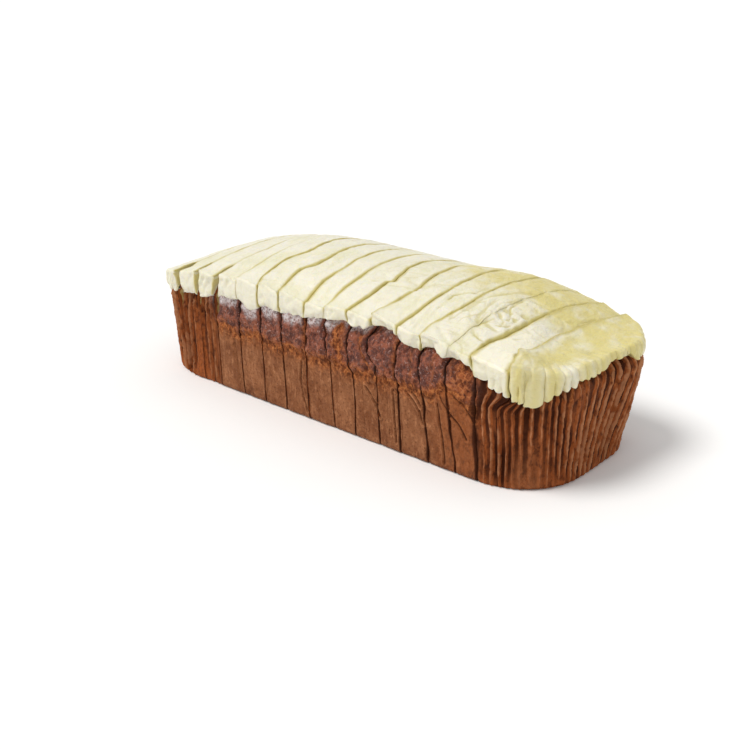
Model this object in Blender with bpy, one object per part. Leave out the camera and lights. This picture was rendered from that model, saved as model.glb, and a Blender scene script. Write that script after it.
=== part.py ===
"""Lemon and poppy seed loaf cake under thick icing, cut through into portions that still stand together.

Units are metres, +Z is up, X runs along the loaf, and the origin is the middle of its flat underside.
The near end is at +X and the front long side at -Y. Each portion is two solids: its piece of sponge,
and the piece of icing that lies on it, a hair's breadth clear.
"""
import math

import bmesh
import bpy

# Sponge: half sizes and plan corner radius at the base, and where the wall stops leaning out
BASE_HALF_LENGTH = 0.1386
BASE_HALF_WIDTH = 0.0504
BASE_CORNER = 0.0345
TOP_HALF_LENGTH = 0.1409
TOP_HALF_WIDTH = 0.0527
TOP_CORNER = 0.0320
WALL_HEIGHT = 0.0460
BASE_EDGE = 0.0025
BASE_EDGE_PLEATS = 0.5
WALL_MIDDLE = 0.0240
WALL_UPPER_SHARE = 0.6

# Where the knife went through, from the far end to the near end, and the width of its cut
CUTS = (-0.1118, -0.0956, -0.0812, -0.0622, -0.0449, -0.0293, -0.0114, 0.0030,
        0.0204, 0.0369, 0.0529, 0.0709, 0.0869, 0.1004, 0.1144)
CUT_WIDTH = 0.0006
CUT_EDGE = 0.0012
CUT_EDGE_DEPTH = 0.0006

# Dome of the icing: height along the ridge and along the sides, and how far both fall at the ends
CREST_PLACE = 0.0069
NEAR_REACH = 0.1325
FAR_REACH = 0.1502
RIDGE_HEIGHT = 0.0818
RIM_HEIGHT = 0.0705
BACK_RIM_FALL = 0.0022
FAR_RIDGE_FALL = 0.0280
FAR_RIM_FALL = 0.0180
NEAR_RIDGE_FALL = 0.0400
NEAR_RIM_FALL = 0.0150
FALL_EASES_AT = 0.80
RIDGE_EASE = 0.0035
RIM_EASE = 0.0015
DOME_POWER = 1.8

# Swelling of the icing on the back half, towards the near end
SWELL_PLACE = (0.0680, 0.0400)
SWELL_SPREAD = (0.0280, 0.0220)
SWELL_HEIGHT = 0.0040

# Lump of icing on the near front corner, where the knife pushed it up
LUMP_PLACE = (0.1205, -0.0420)
LUMP_HEIGHT = 0.0050
LUMP_RADIUS = 0.0110

# Top of the sponge: rounded shoulders, two humps and the cleft between them
SHOULDER_DROP = 0.0150
SHOULDER_WIDTH = 0.0140
SHOULDER_STEPS = (0.0, 0.0014, 0.0048)
SHOULDER_SHARES = (0.0, 0.33, 0.66, 1.0)
SHOULDER_LIMIT = 0.9
TOP_SHARES = (0.84, 0.60, 0.26, 0.12)
COVER_ON_HUMPS = 0.0052
COVER_IN_CLEFT = 0.0165
CLEFT_HALF_WIDTH = 0.0090
CLEFT_ENDS = (0.100, 0.128)

# Icing: thickness of its hanging skirt, rounding of its rim and the gap that keeps it off the sponge
SKIRT = 0.0020
RIM_RADIUS = 0.0034
END_RIM_RADIUS = 0.0080
END_RIM_FROM = 0.1190
SKIRT_MIDDLE_SHARE = 0.6
RIM_SHARES = (0.0, 0.30, 1.0)
ICING_TOP_SHARES = (0.80, 0.55, 0.28)
GAP = 0.0005

# Lower edge of the icing: its height along the sides, and how much lower it hangs at the ends
HEM_HEIGHT = 0.0612
HEM_FAR_FALL = 0.0120
HEM_NEAR_FALL = 0.0095
HEM_FAR_SPAN = (0.020, 0.125)
HEM_NEAR_SPAN = (0.087, 0.127)
HEM_CORNER_FALL = 0.0068
HEM_CORNER = (0.1345, -0.0420)
HEM_CORNER_RADIUS = 0.0170
HEM_LOBE = 0.0018

# Pleats pressed in by the paper case
END_PLEATS = 27
SIDE_PLEATS = 3
PLEAT_DEPTH = 0.0013
PLEATS_FROM = 0.0690
PLEATS_FULL = 0.0970
PLEATED_BEYOND = 0.0890

# Columns of the end portions: where they meet the cut face and the underside
CUT_FACE_MARGIN = 0.0168
TO_CUT_SHARES = (0.30, 0.65, 1.0)
HEEL_SHARE = 0.8

SHARP_ANGLE = math.radians(40.0)
FINISH = {"sponge": ((0.24, 0.085, 0.030), 0.7), "icing": ((0.80, 0.74, 0.46), 0.45)}


def clear_scene():
    """Remove what the scene holds before the loaf is built."""
    for item in list(bpy.data.objects):
        bpy.data.objects.remove(item, do_unlink=True)


def mix(first, second, share):
    return first + (second - first) * share


def ramp(value, start, end):
    """Rise smoothly from 0 at start to 1 at end."""
    share = min(max((value - start) / (end - start), 0.0), 1.0)
    return share * share * (3.0 - 2.0 * share)


def plan(height, grow=0.0):
    """Half length, half width and corner radius of the loaf's outline at a height."""
    share = min(height / WALL_HEIGHT, 1.0)
    return (mix(BASE_HALF_LENGTH, TOP_HALF_LENGTH, share) + grow,
            mix(BASE_HALF_WIDTH, TOP_HALF_WIDTH, share) + grow,
            mix(BASE_CORNER, TOP_CORNER, share) + grow)


def half_width(x, height):
    """Half width of the outline at a place along the loaf, narrower in the rounded corners."""
    length, width, corner = plan(height)
    beyond = abs(x) - (length - corner)
    if beyond <= 0.0:
        return width
    return width - corner + math.sqrt(max(corner ** 2 - beyond ** 2, 0.0))


def inset(x, y, grow=0.0):
    """How far a place lies inside the outline at the top of the wall."""
    length, width, corner = plan(WALL_HEIGHT, grow)
    across = max(abs(x) - (length - corner), 0.0)
    along = max(abs(y) - (width - corner), 0.0)
    inner = min(max(abs(x) - (length - corner), abs(y) - (width - corner)), 0.0)
    return corner - math.hypot(across, along) - inner


def fall(x, near_fall, far_fall, far_power, ease):
    """How far a height has sunk at a place along the loaf."""
    if x < CREST_PLACE:
        return far_fall * ((CREST_PLACE - x) / FAR_REACH) ** far_power
    share = (x - CREST_PLACE) / NEAR_REACH
    if share <= FALL_EASES_AT:
        return near_fall * share ** 4
    slope = 4.0 * near_fall * FALL_EASES_AT ** 3
    beyond = (share - FALL_EASES_AT) * slope / ease
    return near_fall * FALL_EASES_AT ** 4 + ease * (1.0 - math.exp(-beyond))


def rim_height(x):
    return RIM_HEIGHT - fall(x, NEAR_RIM_FALL, FAR_RIM_FALL, 4, RIM_EASE)


def dome(x, y):
    """Height of the iced top before its rim is rounded."""
    ridge = RIDGE_HEIGHT - fall(x, NEAR_RIDGE_FALL, FAR_RIDGE_FALL, 3, RIDGE_EASE)
    rim = rim_height(x) - BACK_RIM_FALL * max(y, 0.0) / TOP_HALF_WIDTH
    across = min(abs(y) / TOP_HALF_WIDTH, 1.0)
    reach = math.hypot(x - LUMP_PLACE[0], y - LUMP_PLACE[1]) / LUMP_RADIUS
    swell = math.hypot((x - SWELL_PLACE[0]) / SWELL_SPREAD[0], (y - SWELL_PLACE[1]) / SWELL_SPREAD[1])
    bumps = LUMP_HEIGHT * math.exp(-reach ** 2) + SWELL_HEIGHT * math.exp(-swell ** 2)
    return rim + (ridge - rim) * (1.0 - across ** DOME_POWER) + bumps


def rim_radius(x):
    return mix(RIM_RADIUS, END_RIM_RADIUS, ramp(abs(x), END_RIM_FROM, TOP_HALF_LENGTH))


def icing_top(x, y):
    """Height of the icing's upper surface."""
    radius = rim_radius(x)
    depth = min(max(inset(x, y, SKIRT), 0.0) / radius, 1.0)
    return dome(x, y) - radius * (1.0 - math.sqrt(1.0 - (1.0 - depth) ** 2))


def shoulder(x):
    """Height at which the sponge's wall ends and its shoulder begins."""
    return rim_height(x) - SHOULDER_DROP


def sponge_top(x, y):
    """Height of the sponge's upper surface, under the icing."""
    start = shoulder(x)
    cleft = math.exp(-(y / CLEFT_HALF_WIDTH) ** 2) * (1.0 - ramp(abs(x), *CLEFT_ENDS))
    cover = mix(COVER_ON_HUMPS, COVER_IN_CLEFT, cleft)
    depth = min(max(inset(x, y), 0.0) / SHOULDER_WIDTH, 1.0)
    return start + (dome(x, y) - cover - start) * math.sqrt(1.0 - (1.0 - depth) ** 2)


def hem(x, y, valley):
    """Height of the icing's lower edge, a little higher in the valleys between its lobes."""
    far = HEM_FAR_FALL * ramp(-x, *HEM_FAR_SPAN)
    near = HEM_NEAR_FALL * ramp(x, *HEM_NEAR_SPAN)
    reach = math.hypot(x - HEM_CORNER[0], y - HEM_CORNER[1]) / HEM_CORNER_RADIUS
    corner = HEM_CORNER_FALL * math.exp(-reach ** 2)
    return HEM_HEIGHT - far - near - corner + HEM_LOBE * valley


def pleat_depth(x):
    """Depth of the paper case's pleats, full round the ends, or of the rounding at a cut's edge."""
    return mix(CUT_EDGE_DEPTH, PLEAT_DEPTH, ramp(abs(x), PLEATS_FROM, PLEATS_FULL))


def shoulder_inset(x, y, height):
    """How far in from the wall the sponge's shoulder reaches a height."""
    start = shoulder(x)
    crest = dome(x, y) - COVER_ON_HUMPS
    share = min((height - start) / (crest - start), SHOULDER_LIMIT)
    return SHOULDER_WIDTH * (1.0 - math.sqrt(1.0 - share ** 2))


class Wall:
    """The wall at one station or column, with the way in from it to where its column ends.

    On an end portion, cut_face is where that portion was cut, and a column that is pinned lies in it.
    """

    def __init__(self, outline, target, valley, cut_face=None, pinned=False):
        x, y, _, _ = outline(WALL_HEIGHT)
        way_x, way_y = target[0] - x, target[1] - y
        self.reach = math.hypot(way_x, way_y)
        self.inward = (way_x / self.reach, way_y / self.reach)
        self.outline = outline
        self.valley = valley
        self.cut_face = cut_face
        self.pinned = pinned

    def placed(self, x, y, z):
        """The point itself, kept on or beyond the cut face of its portion."""
        if self.cut_face is None:
            return (x, y, z)
        reach = abs(self.cut_face) if self.pinned else max(abs(x), abs(self.cut_face))
        return (math.copysign(reach, self.cut_face), y, z)

    def at(self, height, out=0.0, deep=1.0):
        """Point on the wall, moved out from it, with the pleat valley cut in."""
        x, y, nx, ny = self.outline(height)
        push = out - self.valley * deep * pleat_depth(x)
        return self.placed(x + nx * push, y + ny * push, height)

    def on_top(self, depth, out=0.0):
        """Point on the sponge's shoulder or top, this far in from the wall, moved off it."""
        x, y, nx, ny = self.outline(WALL_HEIGHT)
        ix, iy = self.inward
        px, py = x + ix * depth, y + iy * depth
        flat = max(1.0 - max(depth, 0.0) / SHOULDER_WIDTH, 0.0)
        push = out * flat - self.valley * flat ** 3 * pleat_depth(x)
        lift = out * math.sqrt(1.0 - flat ** 2)
        return self.placed(px + nx * push, py + ny * push, sponge_top(px, py) + lift)

    def hem_height(self):
        x, y, _, _ = self.outline(WALL_HEIGHT)
        return hem(x, y, self.valley)

    def rows(self, out=0.0):
        """The four points that sponge and icing share, from the icing's lower edge to the shoulder."""
        x, y, _, _ = self.outline(WALL_HEIGHT)
        low = self.hem_height()
        if low < shoulder(x):
            return [self.at(low, out)] + [self.on_top(step, out) for step in SHOULDER_STEPS]
        first = shoulder_inset(x, y, low)
        last = max(SHOULDER_STEPS[-1], first + SHOULDER_STEPS[1])
        return [self.on_top(mix(first, last, share), out) for share in SHOULDER_SHARES]

    def foot_rows(self):
        """Points of the sponge's wall below the icing, from the underside up."""
        x, _, _, _ = self.outline(WALL_HEIGHT)
        low = self.hem_height()
        start = shoulder(x)
        upper = mix(WALL_MIDDLE, low, WALL_UPPER_SHARE) if low < start else start
        edge = self.at(0.0, -BASE_EDGE, BASE_EDGE_PLEATS)
        return [edge, self.at(BASE_EDGE), self.at(WALL_MIDDLE), self.at(upper)]

    def skirt_rows(self):
        """Points of the icing's outer side, from its lower edge to the top of its rim."""
        x, y, nx, ny = self.outline(WALL_HEIGHT)
        ix, iy = self.inward
        low = self.hem_height()
        radius = rim_radius(x)
        middle = mix(low, icing_top(x, y) - radius, SKIRT_MIDDLE_SHARE)
        points = [self.at(low, GAP + SKIRT), self.at(middle, GAP + SKIRT)]
        for share in RIM_SHARES:
            depth = radius * share - SKIRT
            px, py = x + ix * depth, y + iy * depth
            push = -self.valley * (1.0 - share) * pleat_depth(x)
            points.append(self.placed(px + nx * push, py + ny * push, icing_top(px, py)))
        return points


def side_wall(x, side, valley):
    """Wall line of a cut station on the front (side -1) or the back (side 1)."""
    def outline(height):
        return (x, side * half_width(x, height), 0.0, side)
    return Wall(outline, (x, 0.0), valley)


def end_outline(share, cut, end, height):
    """Point and outward direction on the rounded end, from the front of its cut to the back."""
    length, width, corner = plan(height)
    centre_x, centre_y = length - corner, width - corner
    beyond = max((cut - centre_x) / corner, 0.0)
    arc = corner * (math.pi / 2.0 - math.asin(min(beyond, 1.0)))
    straight = max(centre_x - cut, 0.0)
    offset = (share * 2.0 - 1.0) * (centre_y + arc + straight)
    side = 1.0 if offset > 0.0 else -1.0
    way = abs(offset)
    if way <= centre_y:
        return (end * length, offset, end, 0.0)
    if way <= centre_y + arc:
        angle = (way - centre_y) / corner
        return (end * (centre_x + corner * math.cos(angle)), side * (centre_y + corner * math.sin(angle)),
                end * math.cos(angle), side * math.sin(angle))
    return (end * (centre_x - (way - centre_y - arc)), side * width, 0.0, side)


def finish_object(part, index, mesh_data):
    """Close a bmesh, and turn it into a named object with its own material."""
    name = f"{part}_{index + 1:02d}"
    colour, roughness = FINISH[part]
    bmesh.ops.holes_fill(mesh_data, edges=mesh_data.edges, sides=0)
    bmesh.ops.recalc_face_normals(mesh_data, faces=mesh_data.faces)
    if mesh_data.calc_volume(signed=True) < 0.0:
        bmesh.ops.reverse_faces(mesh_data, faces=mesh_data.faces)
    mesh = bpy.data.meshes.new(name)
    mesh_data.to_mesh(mesh)
    mesh_data.free()
    item = bpy.data.objects.new(name, mesh)
    bpy.context.scene.collection.objects.link(item)
    material = bpy.data.materials.new(name)
    material.use_nodes = True
    shader = material.node_tree.nodes["Principled BSDF"]
    shader.inputs["Base Color"].default_value = (*colour, 1.0)
    shader.inputs["Roughness"].default_value = roughness
    mesh.materials.append(material)
    mesh.shade_smooth()
    mesh.set_sharp_from_angle(angle=SHARP_ANGLE)


def wrapped_grid(columns, rows, place, closed):
    """Make a grid and move each of its points to its place, welding the seam of a closed loop."""
    sheet = bmesh.new()
    bmesh.ops.create_grid(sheet, x_segments=columns, y_segments=rows, size=0.5)
    for vertex in sheet.verts:
        column = round((vertex.co.x + 0.5) * columns)
        row = round((vertex.co.y + 0.5) * rows)
        vertex.co = place(column % columns if closed else column, row)
    if closed:
        bmesh.ops.remove_doubles(sheet, verts=sheet.verts, dist=1e-6)
    return sheet


def sponge_loop(x, front, back):
    """Closed cross-section of the sponge at a station."""
    halves = []
    for wall in (front, back):
        half = wall.foot_rows() + wall.rows()
        edge = half[-1][1]
        half += [(x, edge * share, sponge_top(x, edge * share)) for share in TOP_SHARES]
        halves.append(half)
    return halves[0] + [(x, 0.0, sponge_top(x, 0.0))] + halves[1][::-1]


def icing_loop(x, front, back):
    """Closed cross-section of the icing at a station: along its underside and back over its top."""
    under, over = [], []
    for wall in (front, back):
        low = wall.rows(GAP)
        edge = low[-1][1]
        low += [(x, edge * share, sponge_top(x, edge * share) + GAP) for share in TOP_SHARES]
        high = wall.skirt_rows()
        edge = high[-1][1]
        high += [(x, edge * share, icing_top(x, edge * share)) for share in ICING_TOP_SHARES]
        under.append(low)
        over.append(high)
    bottom = under[0] + [(x, 0.0, sponge_top(x, 0.0) + GAP)] + under[1][::-1]
    top = over[1] + [(x, 0.0, icing_top(x, 0.0))] + over[0][::-1]
    return bottom + top


def stations(index):
    """Places along one middle portion, each with how deep the wall's valley is there."""
    start = CUTS[index - 1] + CUT_WIDTH / 2.0
    end = CUTS[index] - CUT_WIDTH / 2.0
    if max(abs(start), abs(end)) > PLEATED_BEYOND:
        steps = 2 * SIDE_PLEATS
        return [(mix(start, end, step / steps), 1.0 - step % 2) for step in range(steps + 1)]
    return [(start, 1.0), (start + CUT_EDGE, 0.0), (end - CUT_EDGE, 0.0), (end, 1.0)]


def middle_portion(part, index):
    """One slice between two cuts, as cross-sections joined along the loaf."""
    loop = sponge_loop if part == "sponge" else icing_loop
    loops = []
    for x, valley in stations(index):
        loops.append(loop(x, side_wall(x, -1.0, valley), side_wall(x, 1.0, valley)))

    def place(column, row):
        return loops[row][column]

    finish_object(part, index, wrapped_grid(len(loops[0]), len(loops) - 1, place, True))


def end_walls(cut, end):
    """Wall lines round a rounded end, one on each ridge and one in each valley of the pleats."""
    walls = []
    columns = 2 * END_PLEATS
    face_half_width = half_width(cut, WALL_HEIGHT) - CUT_FACE_MARGIN
    for column in range(columns + 1):
        share = column / columns

        def outline(height, share=share):
            return end_outline(share, cut, end, height)

        target = (end * cut, (share * 2.0 - 1.0) * face_half_width)
        walls.append(Wall(outline, target, 1.0 - column % 2, end * cut, column in (0, columns)))
    return walls


def to_cut(wall, start, height, out):
    """Points from one on a wall's shoulder across the top to the cut face."""
    x, y, _, _ = wall.outline(WALL_HEIGHT)
    ix, iy = wall.inward
    first = math.hypot(start[0] - x, start[1] - y)
    points = []
    for share in TO_CUT_SHARES:
        depth = mix(first, wall.reach, share)
        px, py = x + ix * depth, y + iy * depth
        points.append((px, py, height(px, py) + out))
    return points


def sponge_column(wall):
    """From the underside's cut edge out to the wall, up it, and over the top back to the cut face."""
    foot = wall.foot_rows()
    heel = (wall.cut_face, foot[0][1] * HEEL_SHARE, 0.0)
    shared = wall.rows()
    return [heel] + foot + shared + to_cut(wall, shared[-1], sponge_top, 0.0)


def icing_column(wall):
    """From the cut face out along the icing's underside, round its lower edge, and back over its top."""
    under = wall.rows(GAP)
    under += to_cut(wall, under[-1], sponge_top, GAP)
    over = wall.skirt_rows()
    over += to_cut(wall, over[-1], icing_top, 0.0)
    return under[::-1] + over


def end_portion(part, index, end):
    """The rounded portion beyond the outermost cut, as columns side by side round it."""
    column_of = sponge_column if part == "sponge" else icing_column
    cut = (CUTS[-1] if end > 0.0 else -CUTS[0]) + CUT_WIDTH / 2.0
    columns = [column_of(wall) for wall in end_walls(cut, end)]

    def place(column, row):
        return columns[column][row]

    finish_object(part, index, wrapped_grid(len(columns) - 1, len(columns[0]) - 1, place, False))


def build_loaf():
    """Make the sponge and the icing of every portion, from the far end to the near end."""
    last = len(CUTS)
    for index in range(last + 1):
        for part in FINISH:
            if 0 < index < last:
                middle_portion(part, index)
            else:
                end_portion(part, index, 1.0 if index else -1.0)


clear_scene()
build_loaf()
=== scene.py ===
"""Looks of a long lemon and poppy seed loaf cake under thick pale icing, cut through but standing together.

The part's own solids are the frame. Each portion of sponge and each portion of icing is made again here
in the same place with its fine relief, and takes the place of its solid. Units are metres, +X runs along
the loaf to its near end, -Y is its front long side and +Z is up.
"""
import math

import bmesh
import bpy
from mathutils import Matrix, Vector, noise


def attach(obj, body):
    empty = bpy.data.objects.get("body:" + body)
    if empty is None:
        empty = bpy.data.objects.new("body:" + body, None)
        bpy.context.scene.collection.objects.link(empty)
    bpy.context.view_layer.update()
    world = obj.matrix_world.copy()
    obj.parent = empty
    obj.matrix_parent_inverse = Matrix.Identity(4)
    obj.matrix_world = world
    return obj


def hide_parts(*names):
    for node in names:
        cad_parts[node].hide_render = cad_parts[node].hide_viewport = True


bl_info = {
    "name": "Iced lemon loaf cake",
    "version": (1, 0, 0),
    "blender": (4, 5, 0),
    "location": "3D View > Sidebar > Loaf",
    "description": "Sponge and icing of a pre-cut loaf cake, with its stage",
    "category": "Object",
}

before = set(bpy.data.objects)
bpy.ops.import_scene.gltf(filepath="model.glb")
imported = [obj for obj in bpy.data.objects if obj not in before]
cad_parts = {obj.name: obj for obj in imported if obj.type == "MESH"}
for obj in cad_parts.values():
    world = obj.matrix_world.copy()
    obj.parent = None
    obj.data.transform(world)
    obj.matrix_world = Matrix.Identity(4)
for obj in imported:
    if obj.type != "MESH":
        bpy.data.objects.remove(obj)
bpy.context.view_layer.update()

# Outline of the sponge at its base and where the wall stops leaning out, as in the part
BASE_OUTLINE = (0.1386, 0.0504, 0.0345)
TOP_OUTLINE = (0.1409, 0.0527, 0.0320)
WALL_HEIGHT = 0.0460
BASE_EDGE = 0.0025
TOP_HALF_WIDTH = TOP_OUTLINE[1]

# Where the knife went through, and the width of its cut
CUTS = (-0.1118, -0.0956, -0.0812, -0.0622, -0.0449, -0.0293, -0.0114, 0.0030,
        0.0204, 0.0369, 0.0529, 0.0709, 0.0869, 0.1004, 0.1144)
CUT_WIDTH = 0.0006
LAST = len(CUTS)

# How far each cut gapes at the front edge
CUT_GAPE = {0: 0.0050, 1: 0.0032, 2: 0.0044, 3: 0.0004, 4: 0.0004}
WIDE_GAPE = 0.0020
GAPE_ACROSS = (-0.038, -0.047)
GAPE_UP = (0.036, 0.052)

# How strongly each cut shows in the icing, in its rounding and its painted shade, where the icing did not
# close over it again
CUT_TRACE = {3: 0.35, 7: 0.55, 12: 0.16}

# Share of a cut's width that the icing has closed again: where no cut shows, and where it shows in full
ICING_CLOSES = (0.99, 0.60)

# How far every cut sways and frays besides
CUT_SWAY = 0.0005
CUT_FRAY = 0.00022

# How far each cut strays in the icing's top: place across the loaf and shift along it
TOP_PATHS = {
    2: ((-0.0540, 0.0022), (-0.0390, 0.0036), (-0.0315, 0.0030), (-0.0180, 0.0050), (0.0100, 0.0020)),
    4: ((-0.0544, -0.0003), (-0.0468, -0.0036), (-0.0267, -0.0052), (-0.0140, -0.0012), (0.0089, -0.0034),
        (0.0400, -0.0010)),
    5: ((-0.0575, 0.0012), (-0.0512, -0.0012), (-0.0346, -0.0032), (-0.0242, 0.0010), (-0.0023, -0.0009)),
    6: ((-0.0560, 0.0016), (-0.0412, 0.0003), (-0.0267, 0.0009), (-0.0073, -0.0013), (0.0251, -0.0040)),
    7: ((-0.0540, 0.0012), (-0.0465, 0.0020), (-0.0356, 0.0023), (-0.0110, 0.0007), (0.0200, 0.0020)),
    8: ((-0.0554, 0.0002), (-0.0395, 0.0025), (-0.0272, 0.0014), (-0.0250, 0.0012), (-0.0232, 0.0042),
        (-0.0165, 0.0024), (-0.0043, -0.0015), (0.0082, -0.0030), (0.0300, 0.0)),
    9: ((-0.0506, -0.0004), (-0.0353, 0.0027), (-0.0275, 0.0034), (-0.0262, 0.0046), (-0.0235, 0.0040),
        (-0.0018, 0.0004), (0.0162, -0.0009), (0.0400, 0.0010)),
    10: ((-0.0540, 0.0016), (-0.0392, 0.0033), (-0.0197, 0.0029), (-0.0116, 0.0026), (0.0200, 0.0)),
    11: ((-0.0520, -0.0020), (-0.0472, -0.0028), (-0.0360, -0.0001), (-0.0238, 0.0013), (0.0053, 0.0002)),
    13: ((-0.0540, -0.0006), (-0.0407, -0.0008), (-0.0256, 0.0012), (0.0035, 0.0005), (0.0378, 0.0007)),
    14: ((-0.0530, 0.0088), (-0.0480, 0.0072), (-0.0400, 0.0030), (-0.0325, 0.0016), (-0.0005, -0.0008),
         (0.0449, 0.0006)),
}

# Heights between which a cut changes over from its path in the crust to its path in the icing
PATHS_CHANGE = (0.0560, 0.0670)
LAST_PATHS_CHANGE = (0.0410, 0.0500)

# How far from its cut an end portion still follows the cut's bends
FAR_FOLLOWS = 0.014
NEAR_FOLLOWS = 0.022

# How far each cut strays in the front crust, and how far back from it: height and shift along the loaf
CRUST_PATHS_ACROSS = (0.020, 0.046)
CRUST_PATHS = {
    5: ((0.0, 0.0005), (0.0550, 0.0)),
    6: ((0.0, 0.0006), (0.0550, 0.0)),
    7: ((0.0030, 0.0048), (0.0171, 0.0043), (0.0327, 0.0038), (0.0521, -0.0002), (0.0573, -0.0016)),
    8: ((0.0030, 0.0026), (0.0216, 0.0028), (0.0352, 0.0022), (0.0400, -0.0006), (0.0506, -0.0019),
        (0.0617, -0.0004)),
    9: ((0.0041, 0.0030), (0.0370, 0.0023), (0.0440, 0.0019), (0.0475, -0.0018), (0.0513, -0.0042),
        (0.0567, -0.0045), (0.0655, -0.0011)),
    10: ((0.0057, 0.0014), (0.0301, 0.0005), (0.0381, 0.0005), (0.0445, -0.0016), (0.0538, -0.0003)),
    11: ((0.0085, 0.0013), (0.0295, -0.0003), (0.0397, -0.0018), (0.0469, -0.0042), (0.0549, -0.0040),
         (0.0629, -0.0028)),
    12: ((0.0059, 0.0028), (0.0161, 0.0012), (0.0236, -0.0002), (0.0490, -0.0027), (0.0540, -0.0034)),
    13: ((0.0076, 0.0030), (0.0230, 0.0019), (0.0333, 0.0015), (0.0437, 0.0018), (0.0614, 0.0018)),
}

# How wide the crust is cracked beside each cut, which is also how wide the painted shade in the crack is
CRACKS = {3: 0.0004, 4: 0.0004, 5: 0.0004, 6: 0.0004, 7: 0.0003, 8: 0.0006, 9: 0.0005, 10: 0.0009,
          11: 0.0010, 12: 0.0007, 13: 0.0016, 14: 0.0006}
CRACK = 0.0004

# Height that the front edge of each portion's icing adds at its far side and at its near side
EDGE_LIFT = ((0.0, 0.0), (0.0004, -0.0006), (0.0008, -0.0012), (0.0006, -0.0014), (0.0008, -0.0016),
             (0.0010, -0.0018), (0.0002, -0.0026), (-0.0024, -0.0030), (-0.0014, 0.0006),
             (0.0002, -0.0018), (0.0024, -0.0004), (-0.0004, -0.0014), (0.0010, -0.0004),
             (-0.0006, -0.0012), (0.0002, -0.0006), (0.0006, 0.0))

# Lower edge of the icing along the front and round the near end: way along the wall and height
HEM_LINE = ((-0.1180, 0.0500), (-0.1008, 0.0519), (-0.0923, 0.0522), (-0.0820, 0.0540), (-0.0712, 0.0561),
            (-0.0622, 0.0570), (-0.0552, 0.0532), (-0.0496, 0.0530), (-0.0447, 0.0560), (-0.0416, 0.0572),
            (-0.0277, 0.0572), (-0.0126, 0.0583), (0.0020, 0.0607), (0.0057, 0.0616), (0.0181, 0.0634),
            (0.0212, 0.0630), (0.0261, 0.0624), (0.0302, 0.0632), (0.0329, 0.0626), (0.0370, 0.0650),
            (0.0421, 0.0662), (0.0487, 0.0658), (0.0525, 0.0650), (0.0540, 0.0628), (0.0563, 0.0612),
            (0.0602, 0.0610), (0.0651, 0.0602), (0.0699, 0.0598), (0.0730, 0.0622), (0.0777, 0.0628),
            (0.0825, 0.0620), (0.0856, 0.0604), (0.0893, 0.0609), (0.0954, 0.0618), (0.0985, 0.0600),
            (0.0996, 0.0576), (0.1024, 0.0546), (0.1057, 0.0548), (0.1067, 0.0524), (0.1112, 0.0514),
            (0.1121, 0.0500), (0.1146, 0.0499), (0.1160, 0.0484), (0.1235, 0.0478), (0.1262, 0.0452),
            (0.1334, 0.0449), (0.1366, 0.0450), (0.1380, 0.0472), (0.1416, 0.0478), (0.1430, 0.0500),
            (0.1462, 0.0504), (0.1474, 0.0516), (0.1508, 0.0514), (0.1520, 0.0526), (0.1556, 0.0524),
            (0.1572, 0.0546), (0.1640, 0.0540), (0.1720, 0.0540), (0.1780, 0.0552), (0.1808, 0.0566),
            (0.1844, 0.0562), (0.1884, 0.0561), (0.1912, 0.0565), (0.1924, 0.0571), (0.1972, 0.0568),
            (0.2080, 0.0556))

# Where that line takes over from the plain lower edge along the front, and where it gives way again
HEM_LINE_STARTS = (-0.1180, -0.1100)
HEM_LINE_ENDS = (0.1980, 0.2080)

# Dome of the icing, as in the part
CREST_PLACE = 0.0069
NEAR_REACH = 0.1325
FAR_REACH = 0.1502
RIDGE_HEIGHT = 0.0818
RIM_HEIGHT = 0.0705
BACK_RIM_FALL = 0.0022
FAR_RIDGE_FALL = 0.0280
FAR_RIM_FALL = 0.0180
NEAR_RIDGE_FALL = 0.0400
NEAR_RIM_FALL = 0.0150
FALL_EASES_AT = 0.80
RIDGE_EASE = 0.0035
TOP_LIMIT = 0.0816
RIM_EASE = 0.0015
DOME_POWER = 1.8
SWELL_PLACE = (0.0680, 0.0400)
SWELL_SPREAD = (0.0280, 0.0220)
SWELL_HEIGHT = 0.0040
LUMP_PLACE = (0.1205, -0.0420)
LUMP_HEIGHT = 0.0050
LUMP_RADIUS = 0.0110

# Top of the sponge, as in the part
SHOULDER_DROP = 0.0150
SHOULDER_WIDTH = 0.0140
COVER_ON_HUMPS = 0.0052
COVER_IN_CLEFT = 0.0165
CLEFT_HALF_WIDTH = 0.0090
CLEFT_ENDS = (0.100, 0.128)

# Lower edge of the icing away from the front, as in the part
HEM_HEIGHT = 0.0612
HEM_FAR_FALL = 0.0120
HEM_NEAR_FALL = 0.0095
HEM_FAR_SPAN = (0.020, 0.125)
HEM_NEAR_SPAN = (0.087, 0.127)
HEM_CORNER_FALL = 0.0068
HEM_CORNER = (0.1345, -0.0420)
HEM_CORNER_RADIUS = 0.0170

# Pleats of the paper case round the ends: ridges by way along the wall, measured where they show
NEAR_RIDGES = (0.0910, 0.0958, 0.1008, 0.1056, 0.1104, 0.1152, 0.1192, 0.1228, 0.1268, 0.1320, 0.1372,
               0.1412, 0.1448, 0.1486, 0.1530, 0.1578, 0.1630, 0.1686, 0.1742, 0.1800, 0.1858, 0.1920,
               0.1982, 0.2046, 0.2110, 0.2174, 0.2238, 0.2302, 0.2366, 0.2430, 0.2494)
END_PLEATS = 27
SIDE_PLEATS = 3
PLEATS_FROM = 0.0690
PLEATS_FULL = 0.0970
FRONT_PLEATS_FROM = 0.0985
FRONT_PLEATS_FULL = 0.1045
PLEATED_BEYOND = 0.0890
CUT_FACE_MARGIN = 0.0168

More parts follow.
